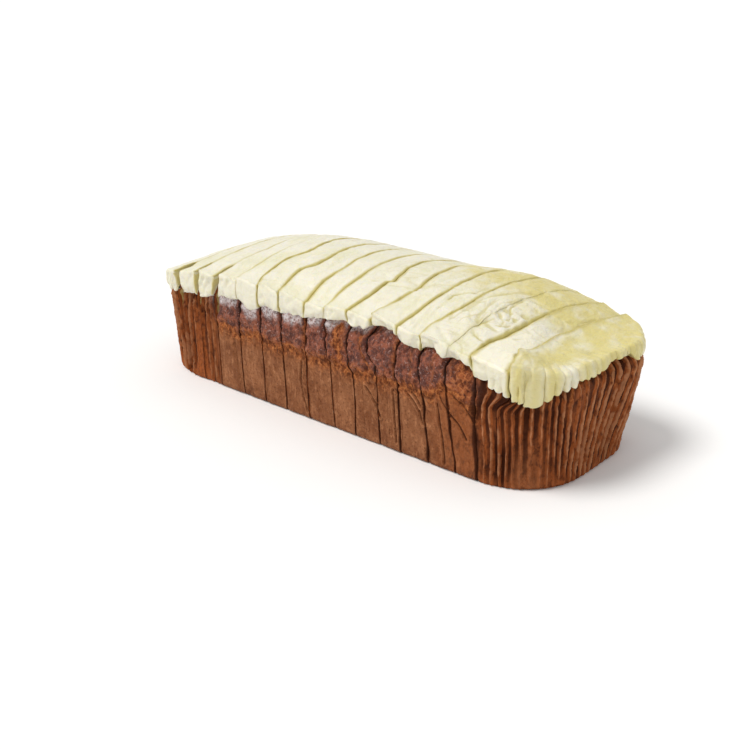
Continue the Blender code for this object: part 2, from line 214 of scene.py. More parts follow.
# How finely the pieces are made
STATION_STEP = 0.00048
EDGE_STATIONS = (0.0, 0.00015, 0.00035, 0.0006, 0.00095, 0.0014)
COLUMNS_PER_PLEAT = 16
WALL_ROWS = 88
SHOULDER_ROWS = 24
SPONGE_TOP_ROWS = 12
UNDER_ROWS = 9
FACE_ROWS = 26
RIM_ROWS = 8
ICING_TOP_ROWS = 96
ICING_UNDER_ROWS = 18
FOOT_ROWS = 4
HEM_ROWS = 4

# Way along the wall, counted from the middle of the loaf: where the back's count starts, and round an end
BACK_WAY = 0.4
END_PERIMETER = 0.130

# Crust round the crumb of a cut face, and the middle that the face's rings draw in to
CRUST_RIM = 0.0030
CRUMB_RING = 0.010
CRUMB_HEIGHT = 0.034
CRUMB_HALF_WIDTH = 0.022


def mix(first, second, share):
    return first + (second - first) * share


def ramp(value, start, end):
    """Rise smoothly from 0 at start to 1 at end."""
    share = min(max((value - start) / (end - start), 0.0), 1.0)
    return share * share * (3.0 - 2.0 * share)


def bell(value, middle, spread):
    return math.exp(-((value - middle) / spread) ** 2)


def wave(x, y, z=0.0):
    """Smooth noise between about -1 and 1."""
    return noise.noise(Vector((x, y, z)))


def rounding(distance, radius):
    """How far a rounded edge has drawn back at a distance from it."""
    if distance >= radius:
        return 0.0
    return radius * (1.0 - math.sqrt(1.0 - (1.0 - distance / radius) ** 2))


def soft_limit(value, limit, ease):
    """Keep a value below a limit, easing towards it."""
    start = limit - ease
    return value if value <= start else limit - ease * math.exp((start - value) / ease)


def along(line, place):
    """Value of a line of (place, value) pairs at a place."""
    for (start, low), (end, high) in zip(line, line[1:]):
        if place <= end:
            return mix(low, high, ramp(place, start, end))
    return line[-1][1]


def plan(height, grow=0.0):
    """Half length, half width and corner radius of the loaf's outline at a height."""
    share = min(height / WALL_HEIGHT, 1.0)
    return [mix(base, top, share) + grow for base, top in zip(BASE_OUTLINE, TOP_OUTLINE)]


def half_width(x, height):
    length, width, corner = plan(height)
    beyond = abs(x) - (length - corner)
    if beyond <= 0.0:
        return width
    return width - corner + math.sqrt(max(corner ** 2 - beyond ** 2, 0.0))


def inset(x, y):
    """How far a place lies inside the outline at the top of the wall."""
    length, width, corner = plan(WALL_HEIGHT)
    across = max(abs(x) - (length - corner), 0.0)
    sideways = max(abs(y) - (width - corner), 0.0)
    inner = min(max(abs(x) - (length - corner), abs(y) - (width - corner)), 0.0)
    return corner - math.hypot(across, sideways) - inner


def fall(x, near_fall, far_fall, far_power, ease):
    """How far a height has sunk at a place along the loaf."""
    if x < CREST_PLACE:
        return far_fall * ((CREST_PLACE - x) / FAR_REACH) ** far_power
    share = (x - CREST_PLACE) / NEAR_REACH
    if share <= FALL_EASES_AT:
        return near_fall * share ** 4
    slope = 4.0 * near_fall * FALL_EASES_AT ** 3
    beyond = (share - FALL_EASES_AT) * slope / ease
    return near_fall * FALL_EASES_AT ** 4 + ease * (1.0 - math.exp(-beyond))


def rim_height(x):
    return RIM_HEIGHT - fall(x, NEAR_RIM_FALL, FAR_RIM_FALL, 4, RIM_EASE)


def dome(x, y):
    """Height of the iced top before its rim is rounded."""
    ridge = RIDGE_HEIGHT - fall(x, NEAR_RIDGE_FALL, FAR_RIDGE_FALL, 3, RIDGE_EASE)
    rim = rim_height(x) - BACK_RIM_FALL * max(y, 0.0) / TOP_HALF_WIDTH
    across = min(abs(y) / TOP_HALF_WIDTH, 1.0)
    reach = math.hypot(x - LUMP_PLACE[0], y - LUMP_PLACE[1]) / LUMP_RADIUS
    swell = math.hypot((x - SWELL_PLACE[0]) / SWELL_SPREAD[0], (y - SWELL_PLACE[1]) / SWELL_SPREAD[1])
    bumps = LUMP_HEIGHT * math.exp(-reach ** 2) + SWELL_HEIGHT * math.exp(-swell ** 2)
    return rim + (ridge - rim) * (1.0 - across ** DOME_POWER) + bumps


def shoulder(x):
    """Height at which the sponge's wall ends and its shoulder begins."""
    return rim_height(x) - SHOULDER_DROP


def sponge_top(x, y):
    """Height of the sponge's upper surface, under the icing."""
    start = shoulder(x)
    cleft = math.exp(-(y / CLEFT_HALF_WIDTH) ** 2) * (1.0 - ramp(abs(x), *CLEFT_ENDS))
    cover = mix(COVER_ON_HUMPS, COVER_IN_CLEFT, cleft)
    depth = min(max(inset(x, y), 0.0) / SHOULDER_WIDTH, 1.0)
    return start + (dome(x, y) - cover - start) * math.sqrt(1.0 - (1.0 - depth) ** 2)


def cut_shift(cut, y, z):
    """How far a cut strays along the loaf from its place: it bends, leans and wanders a little."""
    high = ramp(z, *(LAST_PATHS_CHANGE if cut == LAST - 1 else PATHS_CHANGE))
    path = high * along(TOP_PATHS[cut], y) if cut in TOP_PATHS else 0.0
    if cut in CRUST_PATHS:
        path += (1.0 - high) * ramp(-y, *CRUST_PATHS_ACROSS) * along(CRUST_PATHS[cut], z)
    slow = CUT_SWAY * wave(y * 38.0, z * 30.0, cut * 5.3)
    quick = CUT_FRAY * wave(y * 160.0, z * 90.0, cut * 3.1 + 40.0)
    return path + slow + quick


def cut_gape(cut, y, z, iced):
    """How wide a cut stands open beyond its own width; less than nothing where the icing closed in."""
    gape = CUT_GAPE.get(cut, 0.0) * ramp(y, *GAPE_ACROSS) * ramp(z, *GAPE_UP)
    if iced:
        gape -= CUT_WIDTH * mix(*ICING_CLOSES, CUT_TRACE.get(cut, 1.0))
    return gape


def settle(point, index, iced):
    """Move a point of a portion with the straying and the gaping of the cuts beside it."""
    x, y, z = point
    if index == 0:
        near = ramp(x, CUTS[0] - FAR_FOLLOWS, CUTS[0])
        return (x + near * (cut_shift(0, y, z) - cut_gape(0, y, z, iced) / 2.0), y, z)
    if index == LAST:
        near = ramp(x, CUTS[-1] + NEAR_FOLLOWS, CUTS[-1])
        return (x + near * cut_shift(LAST - 1, y, z), y, z)
    share = (x - CUTS[index - 1]) / (CUTS[index] - CUTS[index - 1])
    before = cut_shift(index - 1, y, z) + cut_gape(index - 1, y, z, iced) / 2.0
    after = cut_shift(index, y, z) - cut_gape(index, y, z, iced) / 2.0
    return (x + mix(before, after, share), y, z)


def ridge_count(way):
    """How many ridges of the near end's pleats lie before a way along the wall."""
    for count, (start, end) in enumerate(zip(NEAR_RIDGES, NEAR_RIDGES[1:])):
        if way <= end:
            return count + (way - start) / (end - start)
    return float(len(NEAR_RIDGES))


class Wall:
    """One upright line of a portion's side, with the way in from it over the top."""

    def __init__(self, outline, target, index, way, to_cut, cut, phase, cut_face=None, pinned=False):
        self.outline = outline
        self.target = target
        self.index = index
        self.way = way
        self.to_cut = to_cut
        self.cut = cut
        self.cut_face = cut_face
        self.pinned = pinned
        self.x, self.y, self.nx, self.ny = outline(WALL_HEIGHT)
        self.near_front = self.x > 0.0 and (index == LAST or self.y < 0.0)
        self.phase = ridge_count(way) if phase is not None and self.near_front else phase
        span = (FRONT_PLEATS_FROM, FRONT_PLEATS_FULL) if self.near_front else (PLEATS_FROM, PLEATS_FULL)
        self.pleated = ramp(abs(self.x), *span) if phase is not None else 0.0
        self.start = shoulder(self.x)
        self.crest = dome(self.x, self.y) - COVER_ON_HUMPS
        length = math.hypot(target[0] - self.x, target[1] - self.y)
        self.reach = length
        self.inward = ((target[0] - self.x) / length, (target[1] - self.y) / length)

    def kept(self, x, y, z):
        """The point itself, kept on or beyond the cut face of an end portion."""
        if self.cut_face is None:
            return (x, y, z)
        reach = abs(self.cut_face) if self.pinned else max(abs(x), abs(self.cut_face))
        return (math.copysign(reach, self.cut_face), y, z)

    def at(self, height, push):
        x, y, nx, ny = self.outline(height)
        return self.kept(x + nx * push, y + ny * push, height)

    def on_top(self, depth, push, lift=0.0):
        """Point on the sponge's shoulder or top, this far in from the wall."""
        px = self.x + self.inward[0] * depth
        py = self.y + self.inward[1] * depth
        return self.kept(px + self.nx * push, py + self.ny * push, sponge_top(px, py) + lift)

    def shoulder_inset(self, height):
        share = min(max((height - self.start) / (self.crest - self.start), 0.0), 0.9)
        return SHOULDER_WIDTH * (1.0 - math.sqrt(1.0 - share ** 2))


def side_wall(x, side, index):
    """Wall line of a middle portion on the front (side -1) or the back (side 1)."""
    start = CUTS[index - 1] + CUT_WIDTH / 2.0
    end = CUTS[index] - CUT_WIDTH / 2.0
    pleated = max(abs(start), abs(end)) > PLEATED_BEYOND
    phase = SIDE_PLEATS * (x - start) / (end - start) if pleated else None

    def outline(height):
        return (x, side * half_width(x, height), 0.0, side)

    way = x if side < 0.0 else BACK_WAY - x
    cut = index - 1 if x - start < end - x else index
    return Wall(outline, (x, 0.0), index, way, min(x - start, end - x), cut, phase)


def end_outline(share, cut, end, height):
    """Point and outward direction on the rounded end, from the front of its cut to the back."""
    length, width, corner = plan(height)
    centre_x, centre_y = length - corner, width - corner
    beyond = max((cut - centre_x) / corner, 0.0)
    arc = corner * (math.pi / 2.0 - math.asin(min(beyond, 1.0)))
    straight = max(centre_x - cut, 0.0)
    half = centre_y + arc + straight
    offset = (share * 2.0 - 1.0) * half
    side = 1.0 if offset > 0.0 else -1.0
    way = abs(offset)
    if way <= centre_y:
        return (end * length, offset, end, 0.0)
    if way <= centre_y + arc:
        angle = (way - centre_y) / corner
        return (end * (centre_x + corner * math.cos(angle)), side * (centre_y + corner * math.sin(angle)),
                end * math.cos(angle), side * math.sin(angle))
    return (end * (centre_x - (way - centre_y - arc)), side * width, 0.0, side)


def end_walls(end):
    """Wall lines round a rounded end, from the front of its cut to the back."""
    cut = (CUTS[-1] if end > 0.0 else -CUTS[0]) + CUT_WIDTH / 2.0
    index = LAST if end > 0.0 else 0
    count = END_PLEATS * COLUMNS_PER_PLEAT
    face_half_width = half_width(cut, WALL_HEIGHT) - CUT_FACE_MARGIN
    walls = []
    for column in range(count + 1):
        share = column / count

        def outline(height, share=share):
            return end_outline(share, cut, end, height)

        target = (end * cut, (share * 2.0 - 1.0) * face_half_width)
        way = end * (cut + share * END_PERIMETER)
        to_cut = END_PERIMETER * min(share, 1.0 - share)
        walls.append(Wall(outline, target, index, way, to_cut, LAST - 1 if index else 0,
                          END_PLEATS * share, end * cut, column in (0, count)))
    return walls


# Relief of the crust

# Where the crust rose above the paper case: its height, and a rise by height, place and spread
FRINGE_HEIGHT = 0.0376
FRINGE_RISE = (0.0070, 0.0870, 0.0090)
FRINGE_WANDER = ((0.0024, 70.0, 3.0), (0.0016, 300.0, 9.0))

# Heights from the fringe between which the glossy crust begins, its lobes get full and the dull one ends
BAND_BEGINS = (-0.0005, 0.0035)
LOBES_FULL = 0.012
DULL_ENDS = (-0.0040, 0.0010)

# Torn seam at the fringe: how far below it, half width, and the depths of its strips and of its lumps
SEAM_DROP = 0.0002
SEAM_HALF_WIDTH = 0.0050
STRIP_DEPTH = 0.0004
TORN_DEPTH = 0.0007

# Dried film of syrup below the icing: its reach along the front, and where along the wall that changes
FILM_REACH = (0.0070, 0.0050)
FILM_SHORTENS = (-0.010, 0.050)
FILM_ENDS = (0.050, 0.060)
FILM_FROM_CUT = (0.0002, 0.0026)

# Where along the front the dull crust gets redder, as it is between the pleats, and darker
REDDENS = (0.066, 0.092)

# Places along the front where the glossy crust tore off in an upright strip: place, half width, share
SHEER_STRIPS = ((0.0140, 0.0048, 1.0), (0.0325, 0.0020, 0.9), (0.0522, 0.0014, 0.7), (0.0655, 0.0016, 0.5),
                (0.0955, 0.0062, 0.8), (0.0800, 0.0012, 0.5), (-0.0120, 0.0022, 0.8))

# Ripples of a surface: height, waves to the metre along it and up or across it, and seed. A wander has
# no second direction.
GLOSSY_RIPPLES = ((0.00120, 150.0, 160.0, 2.0), (0.00110, 340.0, 350.0, 5.0), (0.00055, 850.0, 850.0, 6.0))
FRINGE_RIPPLES = ((0.00080, 260.0, 300.0, 7.0), (0.00070, 700.0, 700.0, 8.0))
DULL_RIPPLES = ((0.00060, 90.0, 34.0, 51.0), (0.00034, 260.0, 110.0, 52.0), (0.00020, 800.0, 460.0, 53.0))
PLEATED_RIPPLES = ((0.00040, 260.0, 160.0, 64.0), (0.00030, 700.0, 500.0, 65.0))
FACE_RIPPLES = ((0.00200, 110.0, 90.0, 101.0), (0.00110, 330.0, 220.0, 102.0))
TOP_RIPPLES = ((0.00070, 52.0, 44.0, 85.0), (0.00040, 140.0, 110.0, 86.0), (0.00022, 420.0, 300.0, 87.0))

# Creases of the paper case in the front side, by place along the loaf and height
FOLDS = (
    ((0.0288, 0.0309), (0.0323, 0.0274), (0.0358, 0.0229), (0.0383, 0.0169)),
    ((0.0534, 0.0397), (0.0580, 0.0367), (0.0634, 0.0323), (0.0680, 0.0272), (0.0694, 0.0212)),
    ((0.0560, 0.0420), (0.0613, 0.0381), (0.0659, 0.0346), (0.0686, 0.0306)),
    ((0.0490, 0.0343), (0.0497, 0.0153), (0.0502, 0.0062)),
    ((-0.0150, 0.0330), (-0.0165, 0.0220), (-0.0150, 0.0115), (-0.0126, 0.0048)),
    ((0.0818, 0.0422), (0.0832, 0.0373), (0.0871, 0.0322), (0.0916, 0.0277), (0.0955, 0.0210)),
    ((0.0849, 0.0451), (0.0906, 0.0420), (0.0957, 0.0377), (0.1002, 0.0318)),
    ((0.0800, 0.0350), (0.0810, 0.0200), (0.0806, 0.0040)),
)
FOLD_DEPTH = 0.0009
FOLD_HALF_WIDTH = 0.0008

# Finer creases: depth, and the share of their noise that is a crease
CREASE_DEPTH = 0.0004
CREASE_WIDTH = 0.06

# Lean of the near end's pleats, and the ways along the wall between which it starts and grows
PLEAT_LEAN = (0.10, 0.32)
LEAN_STARTS = (0.140, 0.170)
LEAN_GROWS = (0.155, 0.190)
LEAN_HEIGHT = 0.028
LEAN_FROM_CUT = 0.010

# Heights at which the pleats get deep, get torn and get painted shadow under the icing, and run wild
PLEATS_START_UP = 0.012
PLEATS_TORN = (0.034, 0.047)
PLEATS_WILD = (0.036, 0.050)

# Ways along the wall up to which the pleats are uneven, and round which they sway and turn the corner
PLEATS_UNEVEN = (0.128, 0.146)
PLEATS_SWAY = (0.1170, 0.0160)
PLEATS_CORNER = (0.1260, 0.0130)

# Duller foot of the near front corner: way along the wall and spread, and the heights where it fades
DULL_CORNER = (0.1290, 0.0080)
DULL_CORNER_UP = (0.030, 0.014)

# How far the near end's wall swells at its back corner, and where that begins and is full
CORNER_SWELL = 0.0020
CORNER_SWELL_UP = (0.026, 0.052)
CORNER_SWELL_ACROSS = (-0.012, 0.030)


def ripples(first, second, layers):
    return sum(height * wave(first * across, second * up, seed) for height, across, up, seed in layers)


def wander(place, layers):
    return sum(height * wave(place * waves, seed) for height, waves, seed in layers)


def distance_to_line(line, first, second):
    """Distance of a point from a line of points."""
    nearest = 1.0
    for (x1, y1), (x2, y2) in zip(line, line[1:]):
        way_x, way_y = x2 - x1, y2 - y1
        share = ((first - x1) * way_x + (second - y1) * way_y) / (way_x ** 2 + way_y ** 2)
        share = min(max(share, 0.0), 1.0)
        nearest = min(nearest, math.hypot(first - x1 - share * way_x, second - y1 - share * way_y))
    return nearest


def fringe(wall):
    """Height at which the crust rose above the paper case and bakes glossy instead of dull."""
    rise, place, spread = FRINGE_RISE
    return FRINGE_HEIGHT + rise * bell(wall.way, place, spread) + wander(wall.way, FRINGE_WANDER)


def pleats(wall, height):
    """How deep in a pleat's valley the crust is, and its painted highlight on the ridges and painted shade
    in the valleys.
    """
    way = wall.way
    wild = 1.0 + 1.2 * ramp(height, *PLEATS_WILD)
    lean = mix(*PLEAT_LEAN, ramp(way, *LEAN_GROWS)) * (height - LEAN_HEIGHT) * ramp(way, *LEAN_STARTS)
    lean *= ramp(wall.to_cut, 0.0, LEAN_FROM_CUT)
    phase = ridge_count(way - lean) if wall.near_front else wall.phase
    drift = mix(0.15, 0.42, bell(way, *PLEATS_SWAY)) * wave(way * 40.0, height * 40.0, 61.0)
    drift += 0.07 * wild * wave(way * 140.0, height * 240.0, 62.0)
    groove = abs(math.sin(math.pi * (phase + drift * min(1.0, wall.to_cut / 0.004))))
    strength = wall.pleated * max(0.35, 1.05 + 0.9 * wave(way * 85.0, height * 30.0, 63.0))
    strength *= mix(0.4, 1.0, ramp(height, 0.0, PLEATS_START_UP))
    uneven = 1.0 - ramp(way, *PLEATS_UNEVEN)
    strength *= max(0.15, 1.0 + 1.5 * uneven * wave(way * 75.0, height * 26.0, 69.0))
    corner = bell(way, *PLEATS_CORNER)
    ridge = 1.0 - ramp(groove, 0.0, mix(0.44, 0.85, corner))
    depth = strength * (1.0 - 0.8 * ridge - 0.2 * (1.0 - groove))
    # Painted highlight on the ridges, with fine glints
    light = ridge * (0.80 + 1.0 * wave(way * 260.0, height * 120.0, 66.0)) * mix(1.0, 0.50, corner)
    light *= 1.0 + 0.9 * wave(way * 700.0, height * 420.0, 68.0)
    # Painted shade in the valleys, deeper at the front corner
    dark = (0.62 + 0.55 * wave(way * 190.0, height * 60.0, 67.0) + 0.16 * corner) * ramp(groove, 0.45, 0.90)
    return depth, strength * (light - dark) * mix(1.0, 1.35, ramp(way, *LEAN_STARTS))


def creases(wall, height):
    """How deep the dull crust is creased, and its painted shade in the creases and painted highlight on the
    folds' lips.
    """
    depth, shade = 0.0, 0.0
    patch = ramp(wave(wall.way * 30.0, height * 25.0, 24.0), 0.0, 0.25)
    value = abs(wave(wall.way * 110.0 + height * 30.0 * wave(wall.way * 11.0, 21.0), height * 16.0, 11.0))
    valley = patch * max(0.0, 1.0 - value / CREASE_WIDTH)
    depth += CREASE_DEPTH * valley
    # Painted shade in the crease
    shade -= 0.4 * valley
    if wall.ny < -0.5:
        for line in FOLDS:
            away = distance_to_line(line, wall.way, height)
            if away < 3.0 * FOLD_HALF_WIDTH:
                valley = max(0.0, 1.0 - away / FOLD_HALF_WIDTH)
                lip = bell(away, 1.7 * FOLD_HALF_WIDTH, 0.5 * FOLD_HALF_WIDTH)
                depth += FOLD_DEPTH * (valley - 0.60 * lip)
                # Painted highlight on the fold's lips and painted shade in its valley
                shade += 0.55 * lip - 0.7 * valley
    return depth, shade


def crust_relief(wall, height, sizes):
    """How far the crust stands out from the plain wall at a height, and its shades there.

    The shades are how glossy, how filmed with syrup, the painted highlight on ridges and painted shade in
    creases, valleys, cracks and under the icing, how torn and how closely pleated the crust is.
    """
    way = wall.way
    edge = fringe(wall)
    sides = 1.0 - wall.pleated
    band = ramp(height - edge, *BAND_BEGINS) * sides
    low = (1.0 - ramp(height - edge, *DULL_ENDS)) * sides
    crack = CRACKS.get(wall.cut, CRACK) * (1.0 + 0.9 * wave(height * 120.0, wall.cut * 2.3))
    radius = mix(crack, sizes.lobe_rounding, band * ramp(height - edge, 0.0, LOBES_FULL))
    push = -0.9 * rounding(wall.to_cut, radius) + sizes.band_swell * band
    # Painted shade in the crack at the cut
    shade = -1.0 * max(0.0, 1.0 - wall.to_cut / crack)
    push += band * ripples(way, height, GLOSSY_RIPPLES)

    ragged = bell(height, edge - SEAM_DROP, SEAM_HALF_WIDTH) * sides
    push += ragged * ripples(way, height, FRINGE_RIPPLES)
    torn = ragged * ramp(wave(way * 260.0, height * 300.0, 12.0), -0.65, -0.05)
    if wall.ny < -0.5:
        for place, spread, share in SHEER_STRIPS:
            here = share * bell(way, place, spread * (1.0 + 0.6 * wave(height * 160.0, place * 90.0))) * band
            torn = max(torn, here)
            push -= STRIP_DEPTH * here
        push += torn * TORN_DEPTH * wave(way * 460.0, height * 380.0, 13.0)

    if low > 0.0:
        crease, tone = creases(wall, height)
        push += low * (ripples(way, height, DULL_RIPPLES) - crease)
        shade += low * tone
    pleat_colour = wall.pleated
    if wall.pleated > 0.0:
        groove, tone = pleats(wall, height)
        push += wall.pleated * ripples(way, height, PLEATED_RIPPLES) - sizes.pleat_depth * groove
        shade += tone
        if wall.near_front:
            pleat_colour *= 1.0 - 0.75 * bell(way, *DULL_CORNER) * ramp(height, *DULL_CORNER_UP)
        high = wall.pleated * ramp(height, *PLEATS_TORN)
        torn = max(torn, 0.85 * high * ramp(wave(way * 330.0, height * 200.0, 15.0), -0.15, 0.30))
        # Painted shadow under the icing's edge, in patches
        shade -= 0.35 * high * ramp(wave(way * 240.0, height * 150.0, 16.0), 0.0, 0.45)
    if wall.index == LAST:
        push += CORNER_SWELL * ramp(height, *CORNER_SWELL_UP) * ramp(wall.y, *CORNER_SWELL_ACROSS)
    pleat_colour = max(pleat_colour, 0.55 * ramp(way, *REDDENS))
    shade -= 0.22 * low * ramp(way, *REDDENS)

    film_reach = mix(*FILM_REACH, ramp(way, *FILM_SHORTENS)) * (1.0 + 0.9 * wave(way * 170.0, 14.0))
    hem = hem_height(wall)
    film = ramp(height, hem - film_reach, hem - film_reach * 0.15) * sides
    film *= (1.0 - ramp(way, *FILM_ENDS)) * ramp(wall.to_cut, *FILM_FROM_CUT)
    return push, (band, film, shade, torn, pleat_colour)


# Relief of the icing

# Swirl of the knife: its place, its reach, how far its arcs bend and where along the loaf it stops
SWIRL_PLACE = (0.0935, -0.0150)
SWIRL_REACH = 0.034
SWIRL_BEND = 0.0030
SWIRL_STOPS = (0.0985, 0.1015)

# Height of the swirl's arcs, depths of its scored lines and of the drawn ones, and height of a smear
COMB_HEIGHT = 0.00085
SCORE_DEPTH = 0.0003
DRAWN_DEPTH = 0.00020
SMEAR_HEIGHT = 0.0012

# Marks that the knife left in the icing, by place along and across the loaf; the first ones are deeper
KNIFE_MARKS = (
    ((0.0898, -0.0235), (0.0877, -0.0295), (0.0874, -0.0337), (0.0879, -0.0368), (0.0913, -0.0395),
     (0.0958, -0.0410), (0.0992, -0.0406)),
    ((0.0863, -0.0164), (0.0902, -0.0187), (0.0935, -0.0214), (0.0953, -0.0262), (0.0934, -0.0269)),
    ((0.0978, -0.0031), (0.0994, -0.0070), (0.0996, -0.0119), (0.0990, -0.0189), (0.0986, -0.0250)),
    ((0.0838, -0.0222), (0.0853, -0.0280), (0.0857, -0.0307)),
    ((0.0594, -0.0238), (0.0587, -0.0193), (0.0605, -0.0163), (0.0636, -0.0128), (0.0686, -0.0095)),
    ((0.0880, 0.0021), (0.0884, -0.0048), (0.0894, -0.0099), (0.0921, -0.0139), (0.0944, -0.0182)),
    ((0.0790, -0.0099), (0.0818, -0.0071), (0.0843, -0.0017)),
    ((0.0980, -0.0161), (0.0972, -0.0214), (0.0961, -0.0251)),
    ((0.0443, -0.0074), (0.0458, -0.0039), (0.0486, 0.0001)),
    ((0.0610, -0.0332), (0.0618, -0.0291)),
    ((0.0587, -0.0121), (0.0607, -0.0072)),
    ((0.0110, -0.0130), (0.0137, -0.0079), (0.0140, -0.0028), (0.0171, 0.0054)),
    ((0.0172, -0.0044), (0.0243, -0.0029), (0.0313, -0.0027)),
    ((0.0451, 0.0186), (0.0500, 0.0203), (0.0577, 0.0149), (0.0627, 0.0075)),
    ((0.0762, 0.0233), (0.0768, 0.0293), (0.0774, 0.0355)),
    ((0.0912, 0.0202), (0.0949, 0.0242), (0.0970, 0.0307)),
    ((0.1044, -0.0275), (0.1066, -0.0220), (0.1095, -0.0162), (0.1127, -0.0130)),
    ((0.1065, 0.0096), (0.1097, 0.0085), (0.1119, 0.0045)),
    ((0.1090, 0.0117), (0.1116, 0.0194), (0.1130, 0.0309)),
)
DEEP_MARKS = 8
MARK_DEPTH = 0.00055
MARK_HALF_WIDTH = 0.0012

# How far a mark may reach before and beyond its first point along the loaf
MARKS_BEFORE = 0.016
MARKS_BEYOND = 0.020

# Pits of the icing: place along and across the loaf, and radius
PIT_DEPTH = 0.0007
PITS = ((0.0960, -0.0082, 0.0024), (0.0915, -0.0120, 0.0012), (0.0870, -0.0100, 0.0010),
        (0.1325, -0.0024, 0.0030))

# Places of the icing with warmer painted shade: place, spread along and across the loaf, and how much
WARM_PATCHES = ((0.1307, -0.0195, 0.0040, 0.0100, 0.75), (0.1325, -0.0024, 0.0035, 0.0035, 1.0),
                (0.1235, 0.0289, 0.0100, 0.0160, 0.70), (0.1090, 0.0330, 0.0070, 0.0160, 0.60),
                (0.0850, 0.0300, 0.0300, 0.0170, 0.50), (0.1190, -0.0400, 0.0040, 0.0060, 0.45))

# Changes of the warmer painted shade along the loaf, by amount and where each starts and is full, and
# towards its back; a change below nothing takes painted shade away
WARM_STEPS = ((0.12, 0.000, 0.040), (-0.10, 0.086, 0.102), (0.84, 0.112, 0.122))
WARM_BACK_ALONG = (0.000, 0.070)
WARM_BACK_ACROSS = (-0.018, 0.020)

# Painted light, the palest icing, on the portion before the near end: where along and across the loaf it
# starts and ends
PALEST = -0.4
PALEST_STARTS = (0.0995, 0.1015)
PALEST_ENDS = (0.1135, 0.1150)
PALEST_ACROSS = (-0.020, 0.005)

# Grooves of the icing's curtain round the near end: way along the wall and share of the full depth
CURTAIN_GROOVES = (
    (0.0955, 0.0), (0.1000, 0.7), (0.1020, 0.6), (0.1062, 1.0), (0.1090, 1.0), (0.1118, 1.0),
    (0.1145, 0.9), (0.1196, 0.7), (0.1250, 1.1), (0.1372, 1.2), (0.1421, 1.1), (0.1466, 1.2), (0.1513, 1.2),
    (0.1560, 1.2), (0.1618, 0.5), (0.1662, 0.35), (0.1700, 0.45), (0.1745, 0.4), (0.1790, 0.6),
    (0.1836, 0.6), (0.1884, 0.9), (0.1920, 0.7), (0.1958, 0.9), (0.1996, 0.8), (0.2040, 0.7),
    (0.2085, 0.8), (0.2130, 0.6), (0.2180, 0.8), (0.2225, 0.7), (0.2275, 0.8), (0.2320, 0.6),
    (0.2370, 0.8), (0.2440, 0.0))

# Where the grooves turn over the rim, by the wall's direction, and how far in over the top they reach
RIM_TURNS = (0.55, 0.95)
FLUTE_REACH = 0.0095

# How far a groove wanders, where below the rim it begins, and where it is full, by mean and spread
GROOVE_WANDER = 0.0007
GROOVE_FROM_RIM = 0.0004
GROOVE_FULL = (0.0055, 0.0040)

# Scallops, grooves and wander of the icing's lower edge
HEM_SCALLOP = 0.0018
HEM_GROOVE_RISE = 0.0020
HEM_WANDER = ((0.0008, 260.0, 71.0), (0.0006, 70.0, 72.0))

# Rounding of the icing at a cut on its top, and by mean and spread down its face
CUT_ROUNDING = 0.0014
FACE_CUT_ROUNDING = (0.0009, 0.0004)

# Width of the painted shade, deeper yellow, beside a cut on the icing's top, and down its face
TOP_CUT_SHADE_WIDTH = 0.0027
CUT_SHADE_WIDTH = 0.0012

# Steps of the icing at a cut: sway of both sides together, mean difference and its spread
STEP_SWAY = 0.0004
STEP = 0.00015
STEP_SPREAD = 0.0003

# Where across the loaf the lift of the front edge begins and is full
EDGE_LIFT_ACROSS = (-0.036, -0.054)

# Lips of the icing by the last cuts: height, extra at the front corner by height, place and spread, reach
END_LIP = 0.0024
END_LIP_CORNER = (0.0012, -0.0470, 0.0090)
END_LIP_REACH = 0.0075
BACK_LIP = 0.0014
BACK_LIP_ACROSS = (-0.010, 0.020)
BACK_LIP_REACH = 0.0060
LAST_DIP = 0.0006
LAST_DIP_REACH = 0.0050

# How the icing's top sinks and its heights and faces are kept in bounds
TOP_SINK = 0.0003
TOP_LIMIT_EASE = 0.0006
FACE_LIMIT_EASE = 0.0008

# How the icing's face stands out: at its lower edge, short of the full overhang, and the rise between
HEM_OUT = 0.0010
FACE_SHORT = 0.0006
FACE_RISE = 0.0045
RIM_FADE = 0.0030

# Lower edge of the icing: its rounding, how far it tucks in and sags, and its underside beside the crust
HEM_ROUNDING = 0.0011
HEM_TUCK = 0.0008
HEM_SAG = 0.0003
UNDER_GAP = 0.0006
UNDER_DROP = 0.0004

# Rounding of the icing's upper edge round the ends, and where along the loaf it begins
END_RIM = 0.0036
END_RIM_FROM = 0.1190

# How far beyond the loaf the cut that an end portion lacks is taken to be
BEYOND_END = 0.010

# Where along the front the icing's face gets warmer painted shade
FACE_SHADED = (0.095, 0.115)

# Bulges and scoops of the icing's front face: place along the loaf, half width and how far it stands out
FACE_BULGES = ((0.0770, 0.0044, -0.0026), (0.0838, 0.0022, 0.0020), (0.0892, 0.0026, -0.0018),
               (0.0955, 0.0028, 0.0016), (0.0640, 0.0036, 0.0012), (0.0335, 0.0022, 0.0018),
               (0.0440, 0.0050, -0.0014), (0.0520, 0.0018, 0.0014), (-0.0520, 0.0050, 0.0012),
               (0.1075, 0.0024, 0.0010), (0.1145, 0.0022, 0.0010), (0.1332, 0.0030, 0.0010))


